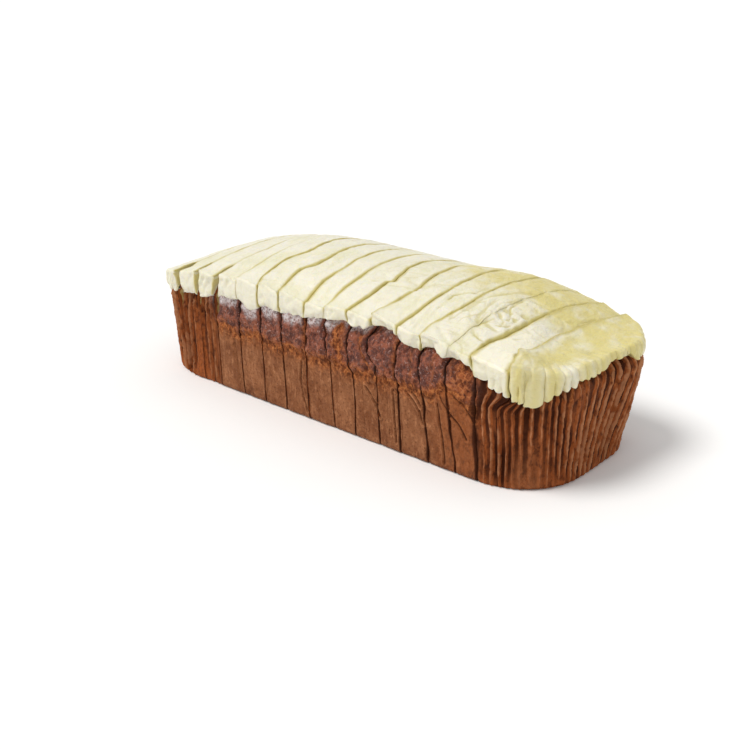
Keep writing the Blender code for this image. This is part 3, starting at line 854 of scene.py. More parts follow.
def hem_height(wall):
    """Height of the icing's lower edge."""
    x, y = wall.x, wall.y
    far = HEM_FAR_FALL * ramp(-x, *HEM_FAR_SPAN)
    near = HEM_NEAR_FALL * ramp(x, *HEM_NEAR_SPAN)
    reach = math.hypot(x - HEM_CORNER[0], y - HEM_CORNER[1]) / HEM_CORNER_RADIUS
    height = HEM_HEIGHT - far - near - HEM_CORNER_FALL * math.exp(-reach ** 2)
    if wall.phase is not None and not wall.near_front:
        height += HEM_SCALLOP * wall.pleated * (1.0 - abs(math.sin(math.pi * wall.phase))) ** 1.5
    if wall.index == LAST or (wall.index > 0 and y < 0.0):
        share = ramp(x, *HEM_LINE_STARTS) * (1.0 - ramp(wall.way, *HEM_LINE_ENDS))
        height = mix(height, along(HEM_LINE, wall.way), share)
        height += HEM_GROOVE_RISE * share * curtain_groove(wall)
    return height + wander(wall.way, HEM_WANDER)


def curtain_groove(wall):
    """How deep in a groove of the icing's curtain a wall line is."""
    if wall.near_front:
        way = wall.way + GROOVE_WANDER * wave(wall.way * 120.0, 111.0)
        for (start, first), (end, second) in zip(CURTAIN_GROOVES, CURTAIN_GROOVES[1:]):
            if start <= way <= end:
                across = (way - start) / (end - start)
                return mix(first, second, across) * (1.0 - math.sin(math.pi * across) ** 0.45)
        return 0.0
    if wall.phase is None or (wall.index > 0 and wall.y < 0.0):
        return 0.0
    groove = (1.0 - abs(math.sin(math.pi * wall.phase))) ** 1.5
    return wall.pleated * groove * max(0.15, 0.9 + wave(wall.way * 85.0, 103.0))


def strokes(x, y):
    """Height that the knife's strokes leave on the icing, and the painted shade, deeper yellow, in their
    lines and arcs.
    """
    height = ripples(x, y, TOP_RIPPLES)
    across, along_y = x - SWIRL_PLACE[0], y - SWIRL_PLACE[1]
    reach = max(math.hypot(across, 0.7 * along_y), 1e-5)
    turn_x, turn_y = across / reach, along_y / reach
    bent = reach + SWIRL_BEND * wave(x * 70.0, y * 70.0, 81.0)
    close = math.exp(-(reach / SWIRL_REACH) ** 2) * (1.0 - 0.92 * ramp(x, *SWIRL_STOPS))
    comb = wave(turn_x * 1.3 + bent * 8.0, turn_y * 1.3, bent * 330.0)
    height += COMB_HEIGHT * (0.12 + close) * comb
    # Painted shade, deeper yellow, in the valleys of the swirl's arcs
    combed = 0.55 * close * ramp(comb, -0.05, -0.45)
    value = abs(wave(turn_x * 1.6 + bent * 25.0, turn_y * 1.6, bent * 210.0 + 50.0))
    patch = ramp(wave(x * 60.0, y * 60.0, 82.0), -0.15, 0.25) * min(1.0, close * 1.4)
    line = max(0.0, 1.0 - value / 0.10) * patch
    height -= SCORE_DEPTH * line
    hollow_shade = 0.50 * line
    drawn = abs(wave(x * 14.0 + y * 22.0, y * 150.0 - x * 60.0, 84.0))
    patch = ramp(wave(x * 30.0, y * 30.0, 89.0), 0.05, 0.35)
    line = max(0.0, 1.0 - drawn / 0.07) * patch
    return height - DRAWN_DEPTH * line, max(hollow_shade, combed, 0.35 * line)


def marks(x, y):
    """Height of the knife's separate marks and of the pits in the icing, and the painted shade, deeper
    yellow, in them.
    """
    height, hollow_shade = 0.0, 0.0
    for number, line in enumerate(KNIFE_MARKS):
        if not line[0][0] - MARKS_BEFORE < x < line[0][0] + MARKS_BEYOND:
            continue
        size = 1.0 if number < DEEP_MARKS else 0.6
        away = distance_to_line(line, x, y) / (MARK_HALF_WIDTH * mix(0.6, 1.0, size))
        if away < 3.0:
            strength = size * min(max(0.60 + 1.1 * wave(x * 130.0, y * 130.0, 96.0), 0.10), 1.0)
            valley = ramp(away, 1.0, 0.0)
            height += MARK_DEPTH * strength * (0.25 * bell(away, 1.9, 0.8) - valley)
            # Painted shade, deeper yellow, in the mark's valley
            hollow_shade = max(hollow_shade, 0.75 * strength * valley)
    for pit_x, pit_y, radius in PITS:
        pit = bell(math.hypot(x - pit_x, y - pit_y), 0.0, radius)
        height -= PIT_DEPTH * pit
        # Painted shade, deeper yellow, in the pit
        hollow_shade = max(hollow_shade, 0.55 * pit)
    return height, hollow_shade


def warmth(x, y):
    """How much warmer painted shade the icing gets at a place, with random tone; below nothing, painted
    light.
    """
    warm_shade = sum(amount * ramp(x, start, end) for amount, start, end in WARM_STEPS)
    warm_shade = max(warm_shade, ramp(y, *WARM_BACK_ACROSS) * ramp(x, *WARM_BACK_ALONG))
    for place_x, place_y, spread_x, spread_y, amount in WARM_PATCHES:
        reach = math.hypot((x - place_x) / spread_x, (y - place_y) / spread_y)
        warm_shade = max(warm_shade, amount * math.exp(-reach ** 2))
    warm_shade *= 0.86 + 0.7 * wave(x * 90.0, y * 90.0, 95.0) + 0.35 * wave(x * 260.0, y * 260.0, 97.0)
    # Painted light on the portion before the near end
    pale = ramp(x, *PALEST_STARTS) * (1.0 - ramp(x, *PALEST_ENDS)) * (1.0 - ramp(y, *PALEST_ACROSS))
    return mix(warm_shade, PALEST, pale)


def step_at(cut, side):
    """Height that a portion's icing adds beside a cut, a little other on either side of it."""
    trace = CUT_TRACE.get(cut, 1.0)
    return STEP_SWAY * wave(cut * 7.7, 1.3) + side * trace * (STEP + STEP_SPREAD * wave(cut * 3.7, 2.1))


def icing_surface(x, y, index, before, after):
    """Height of the icing's top at a place, its painted shade in hollows and cuts, its warmer painted shade
    and light, and how smeared, which paints shade in the smears' low places.

    The two distances are to the cut on the far side of the portion and to the one on its near side.
    """
    drawn, hollow_shade = strokes(x, y)
    marked, mark_shade = marks(x, y)
    # Height of the strokes and marks, from which their low places get painted shade, yellower
    smear_shade = 0.5 + 0.9 * (drawn + marked) / SMEAR_HEIGHT
    height = dome(x, y) + drawn + marked
    hollow_shade = max(hollow_shade, mark_shade)
    share = before / (before + after)
    lift = mix(EDGE_LIFT[index][0], EDGE_LIFT[index][1], share)
    height += lift * ramp(y, *EDGE_LIFT_ACROSS)
    height += mix(step_at(index - 1, 1.0), step_at(index, -1.0), share)
    for distance, cut in ((before, index - 1), (after, index)):
        if not 0 <= cut < LAST:
            continue
        trace = CUT_TRACE.get(cut, 1.0) * max(0.3, 1.0 + 0.9 * wave(y * 45.0, cut * 2.9, 6.0))
        trace *= 0.45 if CUT_GAPE.get(cut, 0.0) > WIDE_GAPE else 1.0
        height -= rounding(distance, CUT_ROUNDING * trace)
        # Painted shade, deeper yellow, beside the cut
        hollow_shade = max(hollow_shade, min(trace * 1.3 + 0.15, 1.0) * ramp(distance, TOP_CUT_SHADE_WIDTH, 0.0))
    if index == LAST:
        extra, place, spread = END_LIP_CORNER
        height += (END_LIP + extra * bell(y, place, spread)) * math.exp(-before / END_LIP_REACH)
    if index == LAST - 1:
        height += BACK_LIP * ramp(y, *BACK_LIP_ACROSS) * math.exp(-before / BACK_LIP_REACH)
        height -= LAST_DIP * math.exp(-after / LAST_DIP_REACH)
    return soft_limit(height - TOP_SINK, TOP_LIMIT, TOP_LIMIT_EASE), hollow_shade, warmth(x, y), smear_shade


def cut_distances(x, index):
    """Distances along the loaf to the cuts on the far side and the near side of a portion."""
    start = CUTS[index - 1] + CUT_WIDTH / 2.0 if index > 0 else -TOP_OUTLINE[0] - BEYOND_END
    end = CUTS[index] - CUT_WIDTH / 2.0 if index < LAST else TOP_OUTLINE[0] + BEYOND_END
    return max(x - start, 0.0), max(end - x, 0.0)


def over_rim(wall):
    """How far the grooves of the curtain reach over the icing's rim: only at the near end."""
    return ramp(wall.nx, *RIM_TURNS) if wall.index == LAST else 0.0


def icing_face(wall, height, low, rim, sizes):
    """How far the icing's outer side stands out from the wall at a height, and the painted shade on it."""
    way = wall.way
    out = mix(HEM_OUT, sizes.icing_overhang - FACE_SHORT, ramp(height, low, low + FACE_RISE))
    shows = CUT_TRACE.get(wall.cut, 1.0)
    radius, spread = FACE_CUT_ROUNDING
    out -= 0.9 * rounding(wall.to_cut, shows * (radius + spread * wave(wall.index * 3.3, 5.0)))
    wide = CUT_GAPE.get(wall.cut, 0.0) > WIDE_GAPE
    # Painted shade down the face beside a cut, faint where the cut stands open
    hollow_shade = shows * (0.15 if wide else 0.80) * max(0.0, 1.0 - wall.to_cut / CUT_SHADE_WIDTH)
    fade = ramp(rim - height, 0.0, RIM_FADE)
    out += ripples(way, height, FACE_RIPPLES) * mix(0.5, 1.0, fade)
    if wall.ny < -0.5:
        for place, spread, stand in FACE_BULGES:
            out += stand * bell(way, place, spread) * fade
    groove = curtain_groove(wall)
    if groove > 0.0:
        full = rim - GROOVE_FULL[0] + GROOVE_FULL[1] * wave(way * 260.0, 107.0)
        strength = groove * max(ramp(height, rim - GROOVE_FROM_RIM, full), over_rim(wall))
        out -= sizes.curtain_depth * strength
        # Painted shade in the curtain's grooves
        hollow_shade = max(hollow_shade, 0.40 * min(strength, 1.0) ** 1.5)
    return soft_limit(out, sizes.icing_overhang, FACE_LIMIT_EASE), min(hollow_shade, 1.0)


# Meshes

# How far the foot of the near end has drawn in, and the spans up, across and from the cut that it takes
FOOT_DRAWN_IN = 0.0030
DRAWN_IN_UP = (0.032, 0.0)
DRAWN_IN_ACROSS = (-0.020, 0.030)
DRAWN_IN_FROM_CUT = (0.0, 0.020)


def drawn_in(wall, height):
    """How far the foot of the near end has drawn in, most at its back corner."""
    if wall.index != LAST:
        return 0.0
    spans = ramp(height, *DRAWN_IN_UP) * ramp(wall.y, *DRAWN_IN_ACROSS)
    return FOOT_DRAWN_IN * spans * ramp(wall.to_cut, *DRAWN_IN_FROM_CUT)


def sponge_points(wall, sizes):
    """Points of one half or one column of the sponge, from under its middle to over its middle."""
    points = []
    foot = wall.at(0.0, -BASE_EDGE - drawn_in(wall, 0.0))
    for row in range(UNDER_ROWS):
        share = row / UNDER_ROWS
        points.append(((mix(wall.target[0], foot[0], share), mix(wall.target[1], foot[1], share), 0.0),
                       (0.0, 0.0, 0.0, 0.0, 0.0)))
    for row in range(FOOT_ROWS):
        angle = math.pi / 2.0 * row / FOOT_ROWS
        height = BASE_EDGE * (1.0 - math.cos(angle))
        push, shades = crust_relief(wall, height, sizes)
        push = push * math.sin(angle) - BASE_EDGE * (1.0 - math.sin(angle)) - drawn_in(wall, height)
        points.append((wall.at(height, push), shades))
    for row in range(WALL_ROWS):
        height = mix(BASE_EDGE, wall.start, row / WALL_ROWS)
        push, shades = crust_relief(wall, height, sizes)
        points.append((wall.at(height, push - drawn_in(wall, height)), shades))
    for row in range(SHOULDER_ROWS + 1):
        angle = math.pi / 2.0 * row / SHOULDER_ROWS
        depth = SHOULDER_WIDTH * (1.0 - math.cos(angle))
        height = mix(wall.start, wall.crest, math.sin(angle))
        push, shades = crust_relief(wall, height, sizes)
        points.append((wall.on_top(depth, push * math.cos(angle), push * math.sin(angle)), shades))
    for row in range(1, SPONGE_TOP_ROWS + 1):
        depth = mix(SHOULDER_WIDTH, wall.reach, row / SPONGE_TOP_ROWS)
        points.append((wall.on_top(depth, 0.0), (0.5, 0.0, 0.0, 0.3, 0.0)))
    return points


def icing_points(wall, sizes):
    """Points of one half or one column of the icing, from its underside over its side to its top."""
    low = hem_height(wall)
    over_shoulder = low > wall.start
    first = wall.shoulder_inset(low) if over_shoulder else 0.0
    points = []
    for row in range(ICING_UNDER_ROWS):
        depth = mix(wall.reach, first + UNDER_GAP, row / ICING_UNDER_ROWS)
        points.append((wall.on_top(depth, 0.0, -UNDER_DROP), (0.0, 0.0, 0.5)))

    radius = mix(sizes.icing_rim, END_RIM, ramp(abs(wall.x), END_RIM_FROM, TOP_OUTLINE[0]))
    rim_x = wall.x + wall.nx * (sizes.icing_overhang - radius)
    rim_y = wall.y + wall.ny * (sizes.icing_overhang - radius)
    rim, rim_shade, warm_shade, smear_shade = icing_surface(rim_x, rim_y, wall.index, *cut_distances(rim_x, wall.index))
    bottom_out, hollow_shade = icing_face(wall, low, low, rim, sizes)
    start_out = -first if over_shoulder else -HEM_TUCK
    # Warmer painted shade on the icing's face towards the near end
    face_shade_and_bounce = 0.16 * ramp(wall.x, *FACE_SHADED) * (1.0 - over_rim(wall))
    # Painted shade and bounce light, warmer yellow, on the sides of the cuts that stand open
    if CUT_GAPE.get(wall.cut, 0.0) > WIDE_GAPE:
        face_shade_and_bounce += 0.75 * max(0.0, 1.0 - wall.to_cut / CUT_SHADE_WIDTH)
    # Painted light on the curtain's flutes where they turn over the near end's rim
    pale = 0.10 * over_rim(wall)
    flute = 0.7 * sizes.curtain_depth * curtain_groove(wall) * over_rim(wall)
    for row in range(HEM_ROWS + 1):
        share = row / HEM_ROWS
        out = mix(start_out, bottom_out - HEM_ROUNDING, share)
        points.append((wall.at(low + HEM_SAG * math.sin(math.pi * share), out), (hollow_shade, warm_shade, 0.5)))
    for row in range(1, HEM_ROWS):
        angle = math.pi / 2.0 * row / HEM_ROWS
        out = bottom_out - HEM_ROUNDING * (1.0 - math.sin(angle))
        points.append((wall.at(low + HEM_ROUNDING * (1.0 - math.cos(angle)), out), (hollow_shade, warm_shade, 0.5)))
    for row in range(FACE_ROWS + 1):
        height = mix(low + HEM_ROUNDING, rim - radius, row / FACE_ROWS)
        out, hollow_shade = icing_face(wall, height, low, rim, sizes)
        points.append((wall.at(height, out), (hollow_shade, max(warm_shade, 0.05) + face_shade_and_bounce - pale, 0.5)))
    for row in range(1, RIM_ROWS):
        share = row / RIM_ROWS
        angle = math.pi / 2.0 * share
        push = mix(sizes.icing_overhang, out, math.cos(angle)) - radius * (1.0 - math.cos(angle))
        height = rim - radius * (1.0 - math.sin(angle)) - flute * math.sin(angle)
        shades = (mix(hollow_shade, rim_shade, share), warm_shade - pale, mix(0.5, smear_shade, share))
        points.append((wall.at(height, push), shades))
    for row in range(ICING_TOP_ROWS + 1):
        share = row / ICING_TOP_ROWS
        px, py, _ = wall.kept(mix(rim_x, wall.target[0], share), mix(rim_y, wall.target[1], share), 0.0)
        height, hollow_shade, warm_shade, smear_shade = icing_surface(px, py, wall.index, *cut_distances(px, wall.index))
        outer = 1.0 - ramp(math.hypot(px - rim_x, py - rim_y), 0.0, FLUTE_REACH)
        points.append(((px, py, height - flute * outer), (hollow_shade, warm_shade - pale * outer, smear_shade)))
    return points


def stations(index):
    """Places along one middle portion, closer together by the cuts."""
    start = CUTS[index - 1] + CUT_WIDTH / 2.0
    end = CUTS[index] - CUT_WIDTH / 2.0
    inner = EDGE_STATIONS[-1]
    count = round((end - start - 2.0 * inner) / STATION_STEP)
    middle = [mix(start + inner, end - inner, step / count) for step in range(1, count)]
    return [start + step for step in EDGE_STATIONS] + middle + [end - step for step in EDGE_STATIONS[::-1]]


def portion_mesh(index, points_of, sizes, layers):
    """The closed skin of one portion, from its rows of points."""
    if 0 < index < LAST:
        rows = []
        for x in stations(index):
            front = points_of(side_wall(x, -1.0, index), sizes)
            back = points_of(side_wall(x, 1.0, index), sizes)
            rows.append(front + back[::-1][1:-1])
    else:
        rows = [points_of(wall, sizes) for wall in end_walls(1.0 if index else -1.0)]
    closed = 0 < index < LAST
    columns = len(rows[0]) if closed else len(rows[0]) - 1
    iced = layers == ICING_LAYERS
    sheet = bmesh.new()
    bmesh.ops.create_grid(sheet, x_segments=columns, y_segments=len(rows) - 1, size=0.5)
    layer_marks = [sheet.verts.layers.float.new(name) for name in layers]
    for vertex in sheet.verts:
        column = round((vertex.co.x + 0.5) * columns)
        row = round((vertex.co.y + 0.5) * (len(rows) - 1))
        point, shades = rows[row][column % columns if closed else column]
        vertex.co = settle(point, index, iced)
        for mark, shade in zip(layer_marks, shades):
            vertex[mark] = shade
    bmesh.ops.remove_doubles(sheet, verts=sheet.verts, dist=1e-6)
    return sheet


def close_cut_faces(sheet, rim_layer=None):
    """Fill the cut faces, with a rim of crust round the crumb where the sponge is cut."""
    filled = bmesh.ops.holes_fill(sheet, edges=sheet.edges, sides=0)["faces"]
    if rim_layer:
        mark = sheet.verts.layers.float[rim_layer]
        for thickness in (CRUST_RIM, CRUMB_RING):
            bmesh.ops.inset_individual(sheet, faces=filled, thickness=1e-5, use_even_offset=False)
            for face in filled:
                for vertex in face.verts:
                    middle_y = min(max(vertex.co.y, -CRUMB_HALF_WIDTH), CRUMB_HALF_WIDTH)
                    way = Vector((vertex.co.x, middle_y, CRUMB_HEIGHT)) - vertex.co
                    vertex.co += way * min(thickness / max(way.length, 1e-6), 0.9)
                    vertex[mark] = 1.0
    bmesh.ops.recalc_face_normals(sheet, faces=sheet.faces)
    if sheet.calc_volume(signed=True) < 0.0:
        bmesh.ops.reverse_faces(sheet, faces=sheet.faces)


def finished_piece(name, sheet, material, node):
    """Turn a bmesh into a shown piece that stands for its solid."""
    mesh = bpy.data.meshes.new(name)
    sheet.to_mesh(mesh)
    sheet.free()
    mesh.shade_smooth()
    mesh.set_sharp_from_angle(angle=math.radians(60.0))
    piece = bpy.data.objects.new(name, mesh)
    bpy.context.scene.collection.objects.link(piece)
    mesh.materials.append(material)
    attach(piece, "root")
    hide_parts(node)
    return piece


# Marks of the sponge; the ridge mark carries painted highlight on ridges and fold lips, painted shade in
# creases, valleys and cracks, painted shadow under the icing, and darker dull crust towards the near end
SPONGE_LAYERS = ("gloss", "film", "ridge", "torn", "pleated", "crumb")
# Marks of the icing: painted shade in hollows, grooves and cuts; warmer painted shade at its back and near
# end, with random tone and painted light below nothing; and the smears' relief, which paints shade in their
# low places
ICING_LAYERS = ("hollow_shade", "warm_shade", "smear_shade")


def make_sponge(index, sizes, material):
    def points_of(wall, sizes):
        return [(point, shades + (0.0,)) for point, shades in sponge_points(wall, sizes)]
    sheet = portion_mesh(index, points_of, sizes, SPONGE_LAYERS)
    close_cut_faces(sheet, "crumb")
    number = f"{index + 1:02d}"
    return finished_piece(f"cake_{number}", sheet, material, f"sponge_{number}")


def make_icing(index, sizes, material):
    sheet = portion_mesh(index, icing_points, sizes, ICING_LAYERS)
    close_cut_faces(sheet)
    number = f"{index + 1:02d}"
    return finished_piece(f"topping_{number}", sheet, material, f"icing_{number}")


# Finishes

# How deep light goes into the icing, and the heights that the finish's finest bumps stand for
ICING_SCATTER = 0.0020
ICING_BUMPS = (0.0012, 0.0015)
CRUST_BUMPS = (0.0010, 0.0016)


class Finish:
    """A material and short ways to add the nodes of its finish."""

    def __init__(self, name):
        self.material = bpy.data.materials.new(name)
        self.material.use_nodes = True
        self.tree = self.material.node_tree
        self.shader = self.tree.nodes["Principled BSDF"]
        self.place = self.tree.nodes.new("ShaderNodeTexCoord").outputs["Object"]

    def into(self, socket, value):
        """Set a socket to a number or colour, or link it to another node's output."""
        if isinstance(value, bpy.types.NodeSocket):
            self.tree.links.new(value, socket)
        elif hasattr(value, "__len__"):
            socket.default_value = (*value[:3], 1.0)
        else:
            socket.default_value = value

    def noise(self, scale, detail=2.0, stretch=(1.0, 1.0, 1.0), rough=0.5):
        mapping = self.tree.nodes.new("ShaderNodeMapping")
        mapping.inputs["Scale"].default_value = stretch
        self.tree.links.new(self.place, mapping.inputs["Vector"])
        texture = self.tree.nodes.new("ShaderNodeTexNoise")
        self.tree.links.new(mapping.outputs["Vector"], texture.inputs["Vector"])
        texture.inputs["Scale"].default_value = scale
        texture.inputs["Detail"].default_value = detail
        texture.inputs["Roughness"].default_value = rough
        return texture.outputs["Fac"]

    def cells(self, scale, feature="F1"):
        texture = self.tree.nodes.new("ShaderNodeTexVoronoi")
        texture.feature = feature
        self.tree.links.new(self.place, texture.inputs["Vector"])
        texture.inputs["Scale"].default_value = scale
        return texture

    def mark(self, name):
        attribute = self.tree.nodes.new("ShaderNodeAttribute")
        attribute.attribute_name = name
        return attribute.outputs["Fac"]

    def span(self, value, start, end, low=0.0, high=1.0):
        """Map a value from start..end to low..high, smoothly and kept between them."""
        ranged = self.tree.nodes.new("ShaderNodeMapRange")
        ranged.interpolation_type = "SMOOTHSTEP"
        self.into(ranged.inputs["Value"], value)
        for name, number in (("From Min", start), ("From Max", end), ("To Min", low), ("To Max", high)):
            ranged.inputs[name].default_value = number
        return ranged.outputs["Result"]

    def calc(self, operation, first, second):
        node = self.tree.nodes.new("ShaderNodeMath")
        node.operation = operation
        self.into(node.inputs[0], first)
        self.into(node.inputs[1], second)
        return node.outputs["Value"]

    def blend(self, share, first, second):
        node = self.tree.nodes.new("ShaderNodeMix")
        node.data_type = "RGBA"
        self.into(node.inputs["Factor"], share)
        self.into(node.inputs["A"], first)
        self.into(node.inputs["B"], second)
        return node.outputs["Result"]

    def bump(self, height, distance, strength=1.0, under=None):
        node = self.tree.nodes.new("ShaderNodeBump")
        node.inputs["Distance"].default_value = distance
        node.inputs["Strength"].default_value = strength
        self.into(node.inputs["Height"], height)
        if under is not None:
            self.tree.links.new(under, node.inputs["Normal"])
        return node.outputs["Normal"]


def icing_finish(colours):
    """Pale lemon icing: satin, a little see-through, with painted shade, deeper yellow, in its hollows, cuts
    and the low places of its smears, warmer painted shade at its back and near end, and painted light where
    palest.
    """
    finish = Finish("lemon icing")
    shader = finish.shader
    cloud = finish.noise(70.0, 4.0, rough=0.6)
    streak = finish.noise(330.0, 4.0, (1.0, 0.5, 1.0), 0.65)
    # Painted shade, yellower, in the low places of the smears; the cloud and streak are random tone
    low = finish.span(finish.mark("smear_shade"), 0.62, 0.22)
    tone = finish.calc("ADD", finish.calc("MULTIPLY", low, 0.45), finish.span(cloud, 0.40, 0.70, 0.0, 0.3))
    tone = finish.calc("ADD", tone, finish.span(streak, 0.45, 0.72, 0.0, 0.35))
    base = finish.blend(tone, colours.icing_pale, colours.icing_tone_and_shade)
    warm_shade = finish.mark("warm_shade")
    # Painted light where the warmth mark is below nothing, painted shade, darker and warmer, where it is
    # above
    base = finish.blend(finish.span(warm_shade, 0.0, -0.5, 0.0, 0.8), base, colours.icing_painted_light)
    base = finish.blend(finish.span(warm_shade, 0.0, 1.0, 0.0, 0.95), base, colours.icing_olive_shade)
    # Painted shade, deeper yellow, in hollows, grooves and cuts
    base = finish.blend(finish.span(finish.mark("hollow_shade"), 0.0, 0.95), base, colours.icing_shade)
    finish.into(shader.inputs["Base Color"], base)
    finish.into(shader.inputs["Roughness"], finish.span(streak, 0.35, 0.70, 0.28, 0.50))
    shader.inputs["Subsurface Weight"].default_value = 0.25
    shader.inputs["Subsurface Radius"].default_value = (1.0, 0.80, 0.40)
    shader.inputs["Subsurface Scale"].default_value = ICING_SCATTER
    shader.inputs["IOR"].default_value = 1.42
    fine = finish.bump(streak, ICING_BUMPS[0], 0.9)
    finish.into(shader.inputs["Normal"], finish.bump(cloud, ICING_BUMPS[1], 0.5, fine))
    return finish.material


def sponge_finish(colours):
    """Crust that is glossy above the paper case and dull where the case pressed, and crumb where cut, with
    painted highlights and glints and painted shade in creases, valleys and cracks.
    """
    finish = Finish("baked sponge")
    shader = finish.shader
    gloss, film, ridge, torn, pleated, crumb = [finish.mark(name) for name in SPONGE_LAYERS]
    speck = finish.noise(900.0, 4.0, rough=0.7)
    blotch = finish.noise(110.0, 5.0, rough=0.65)
    grain = finish.noise(420.0, 4.0, (1.0, 1.0, 0.6), 0.65)
    drawn = finish.noise(260.0, 3.0, (1.0, 1.0, 0.12), 0.6)

    dull = finish.blend(finish.span(blotch, 0.30, 0.66), colours.crust_umber, colours.crust_dull)
    dull = finish.blend(finish.span(drawn, 0.50, 0.74, 0.0, 0.30), dull, colours.crust_pale_and_highlight)
    dull = finish.blend(finish.span(grain, 0.50, 0.70, 0.0, 0.45), dull, colours.crust_pale_and_highlight)
    dull = finish.blend(finish.span(drawn, 0.48, 0.28, 0.0, 0.60), dull, colours.crust_umber)
    dull = finish.blend(finish.span(speck, 0.50, 0.28, 0.0, 0.80), dull, colours.crust_dark)
    red = finish.blend(finish.span(grain, 0.28, 0.56), colours.crust_dark, colours.crust_red)
    red = finish.blend(finish.span(blotch, 0.48, 0.70, 0.0, 0.6), red, colours.crust_torn)
    dull = finish.blend(pleated, dull, red)
    shiny = finish.blend(finish.span(grain, 0.40, 0.60), colours.crust_glossy, colours.crust_warm)
    shiny = finish.blend(finish.span(speck, 0.50, 0.33, 0.0, 0.7), shiny, colours.crust_dark)
    # Painted glints, light flecks, on the glossy crust
    painted_glint = finish.span(finish.noise(700.0, 2.0, rough=0.6), 0.58, 0.70, 0.0, 0.55)
    shiny = finish.blend(painted_glint, shiny, colours.crust_painted_glint)
    base = finish.blend(gloss, dull, shiny)
    rough_tone = finish.blend(finish.span(grain, 0.34, 0.60), colours.crust_dark, colours.crust_torn)
    rough_tone = finish.blend(finish.span(speck, 0.50, 0.30, 0.0, 0.8), rough_tone, colours.crust_dark)
    string = finish.span(finish.cells(300.0, "DISTANCE_TO_EDGE").outputs["Distance"], 0.12, 0.02)
    string = finish.calc("MULTIPLY", string, finish.span(grain, 0.38, 0.60, 0.0, 0.85))
    rough_tone = finish.blend(string, rough_tone, colours.crust_string)
    base = finish.blend(finish.calc("MULTIPLY", torn, 0.9), base, rough_tone)
    # Painted highlight on ridges and fold lips, painted shade in creases, valleys, cracks and under the
    # icing
    base = finish.blend(finish.span(ridge, 0.05, 0.9, 0.0, 0.85), base, colours.crust_pale_and_highlight)
    base = finish.blend(finish.span(ridge, -0.05, -0.8, 0.0, 0.92), base, colours.crust_painted_shade)
    filmed = finish.calc("MULTIPLY", finish.span(film, 0.0, 1.0), finish.span(speck, 0.36, 0.60, 0.15, 0.95))
    base = finish.blend(filmed, base, colours.syrup)

    cell = finish.cells(270.0)
    seed = finish.span(cell.outputs["Distance"], 0.16, 0.12)
    some = finish.tree.nodes.new("ShaderNodeSeparateColor")
    finish.tree.links.new(cell.outputs["Color"], some.inputs["Color"])
    seed = finish.calc("MULTIPLY", seed, finish.span(some.outputs["Red"], 0.72, 0.74))
    hole = finish.span(finish.cells(520.0).outputs["Distance"], 0.28, 0.10)
    inside = finish.blend(finish.span(finish.noise(500.0, 3.0), 0.3, 0.7), colours.crumb, colours.crumb_deep)
    inside = finish.blend(finish.calc("MULTIPLY", hole, 0.5), inside, colours.crumb_deep)
    inside = finish.blend(seed, inside, colours.seed)
    edge = finish.calc("ADD", crumb, finish.span(finish.noise(260.0, 2.0), 0.3, 0.7, -0.25, 0.25))
    inside = finish.blend(finish.span(edge, 0.55, 0.95), colours.crust_torn, inside)
    base = finish.blend(finish.span(crumb, 0.02, 0.10), base, inside)

    finish.into(shader.inputs["Base Color"], base)
    shine = finish.calc("MULTIPLY", gloss, finish.calc("SUBTRACT", 1.0, torn))
    shine = finish.calc("MAXIMUM", shine, finish.calc("MULTIPLY", pleated, 0.12))
    finish.into(shader.inputs["Roughness"], finish.span(shine, 0.0, 1.0, 0.70, 0.24))
    finish.into(shader.inputs["Specular IOR Level"], finish.span(shine, 0.0, 1.0, 0.16, 0.62))
    shader.inputs["IOR"].default_value = 1.42
    fine = finish.bump(speck, CRUST_BUMPS[0], 0.9)
    finish.into(shader.inputs["Normal"], finish.bump(grain, CRUST_BUMPS[1], 0.8, fine))
    return finish.material


# Settings, operators and panel

def length(name, description, default):
    return bpy.props.FloatProperty(name=name, description=description, default=default, min=0.0,
                                   subtype="DISTANCE", unit="LENGTH", precision=5)


def colour(name, description, default):
    return bpy.props.FloatVectorProperty(name=name, description=description, default=default, size=3,
                                         subtype="COLOR", min=0.0, max=1.0)


class LoafSizes(bpy.types.PropertyGroup):
    """Sizes of the loaf's fine relief."""

    icing_overhang: length("Icing overhang", "How far the icing stands out from the crust", 0.0025)
    icing_rim: length("Icing rim", "Rounding of the icing's upper edge along the sides", 0.0016)
    curtain_depth: length("Curtain depth", "Depth of the grooves down the icing at the ends", 0.0012)
    pleat_depth: length("Pleat depth", "Depth of the paper case's pleats in the crust", 0.0019)
    band_swell: length("Crust swell", "How far the crust stands out above the paper case", 0.0008)
    lobe_rounding: length("Lobe rounding", "Rounding of the glossy crust beside a cut", 0.0026)


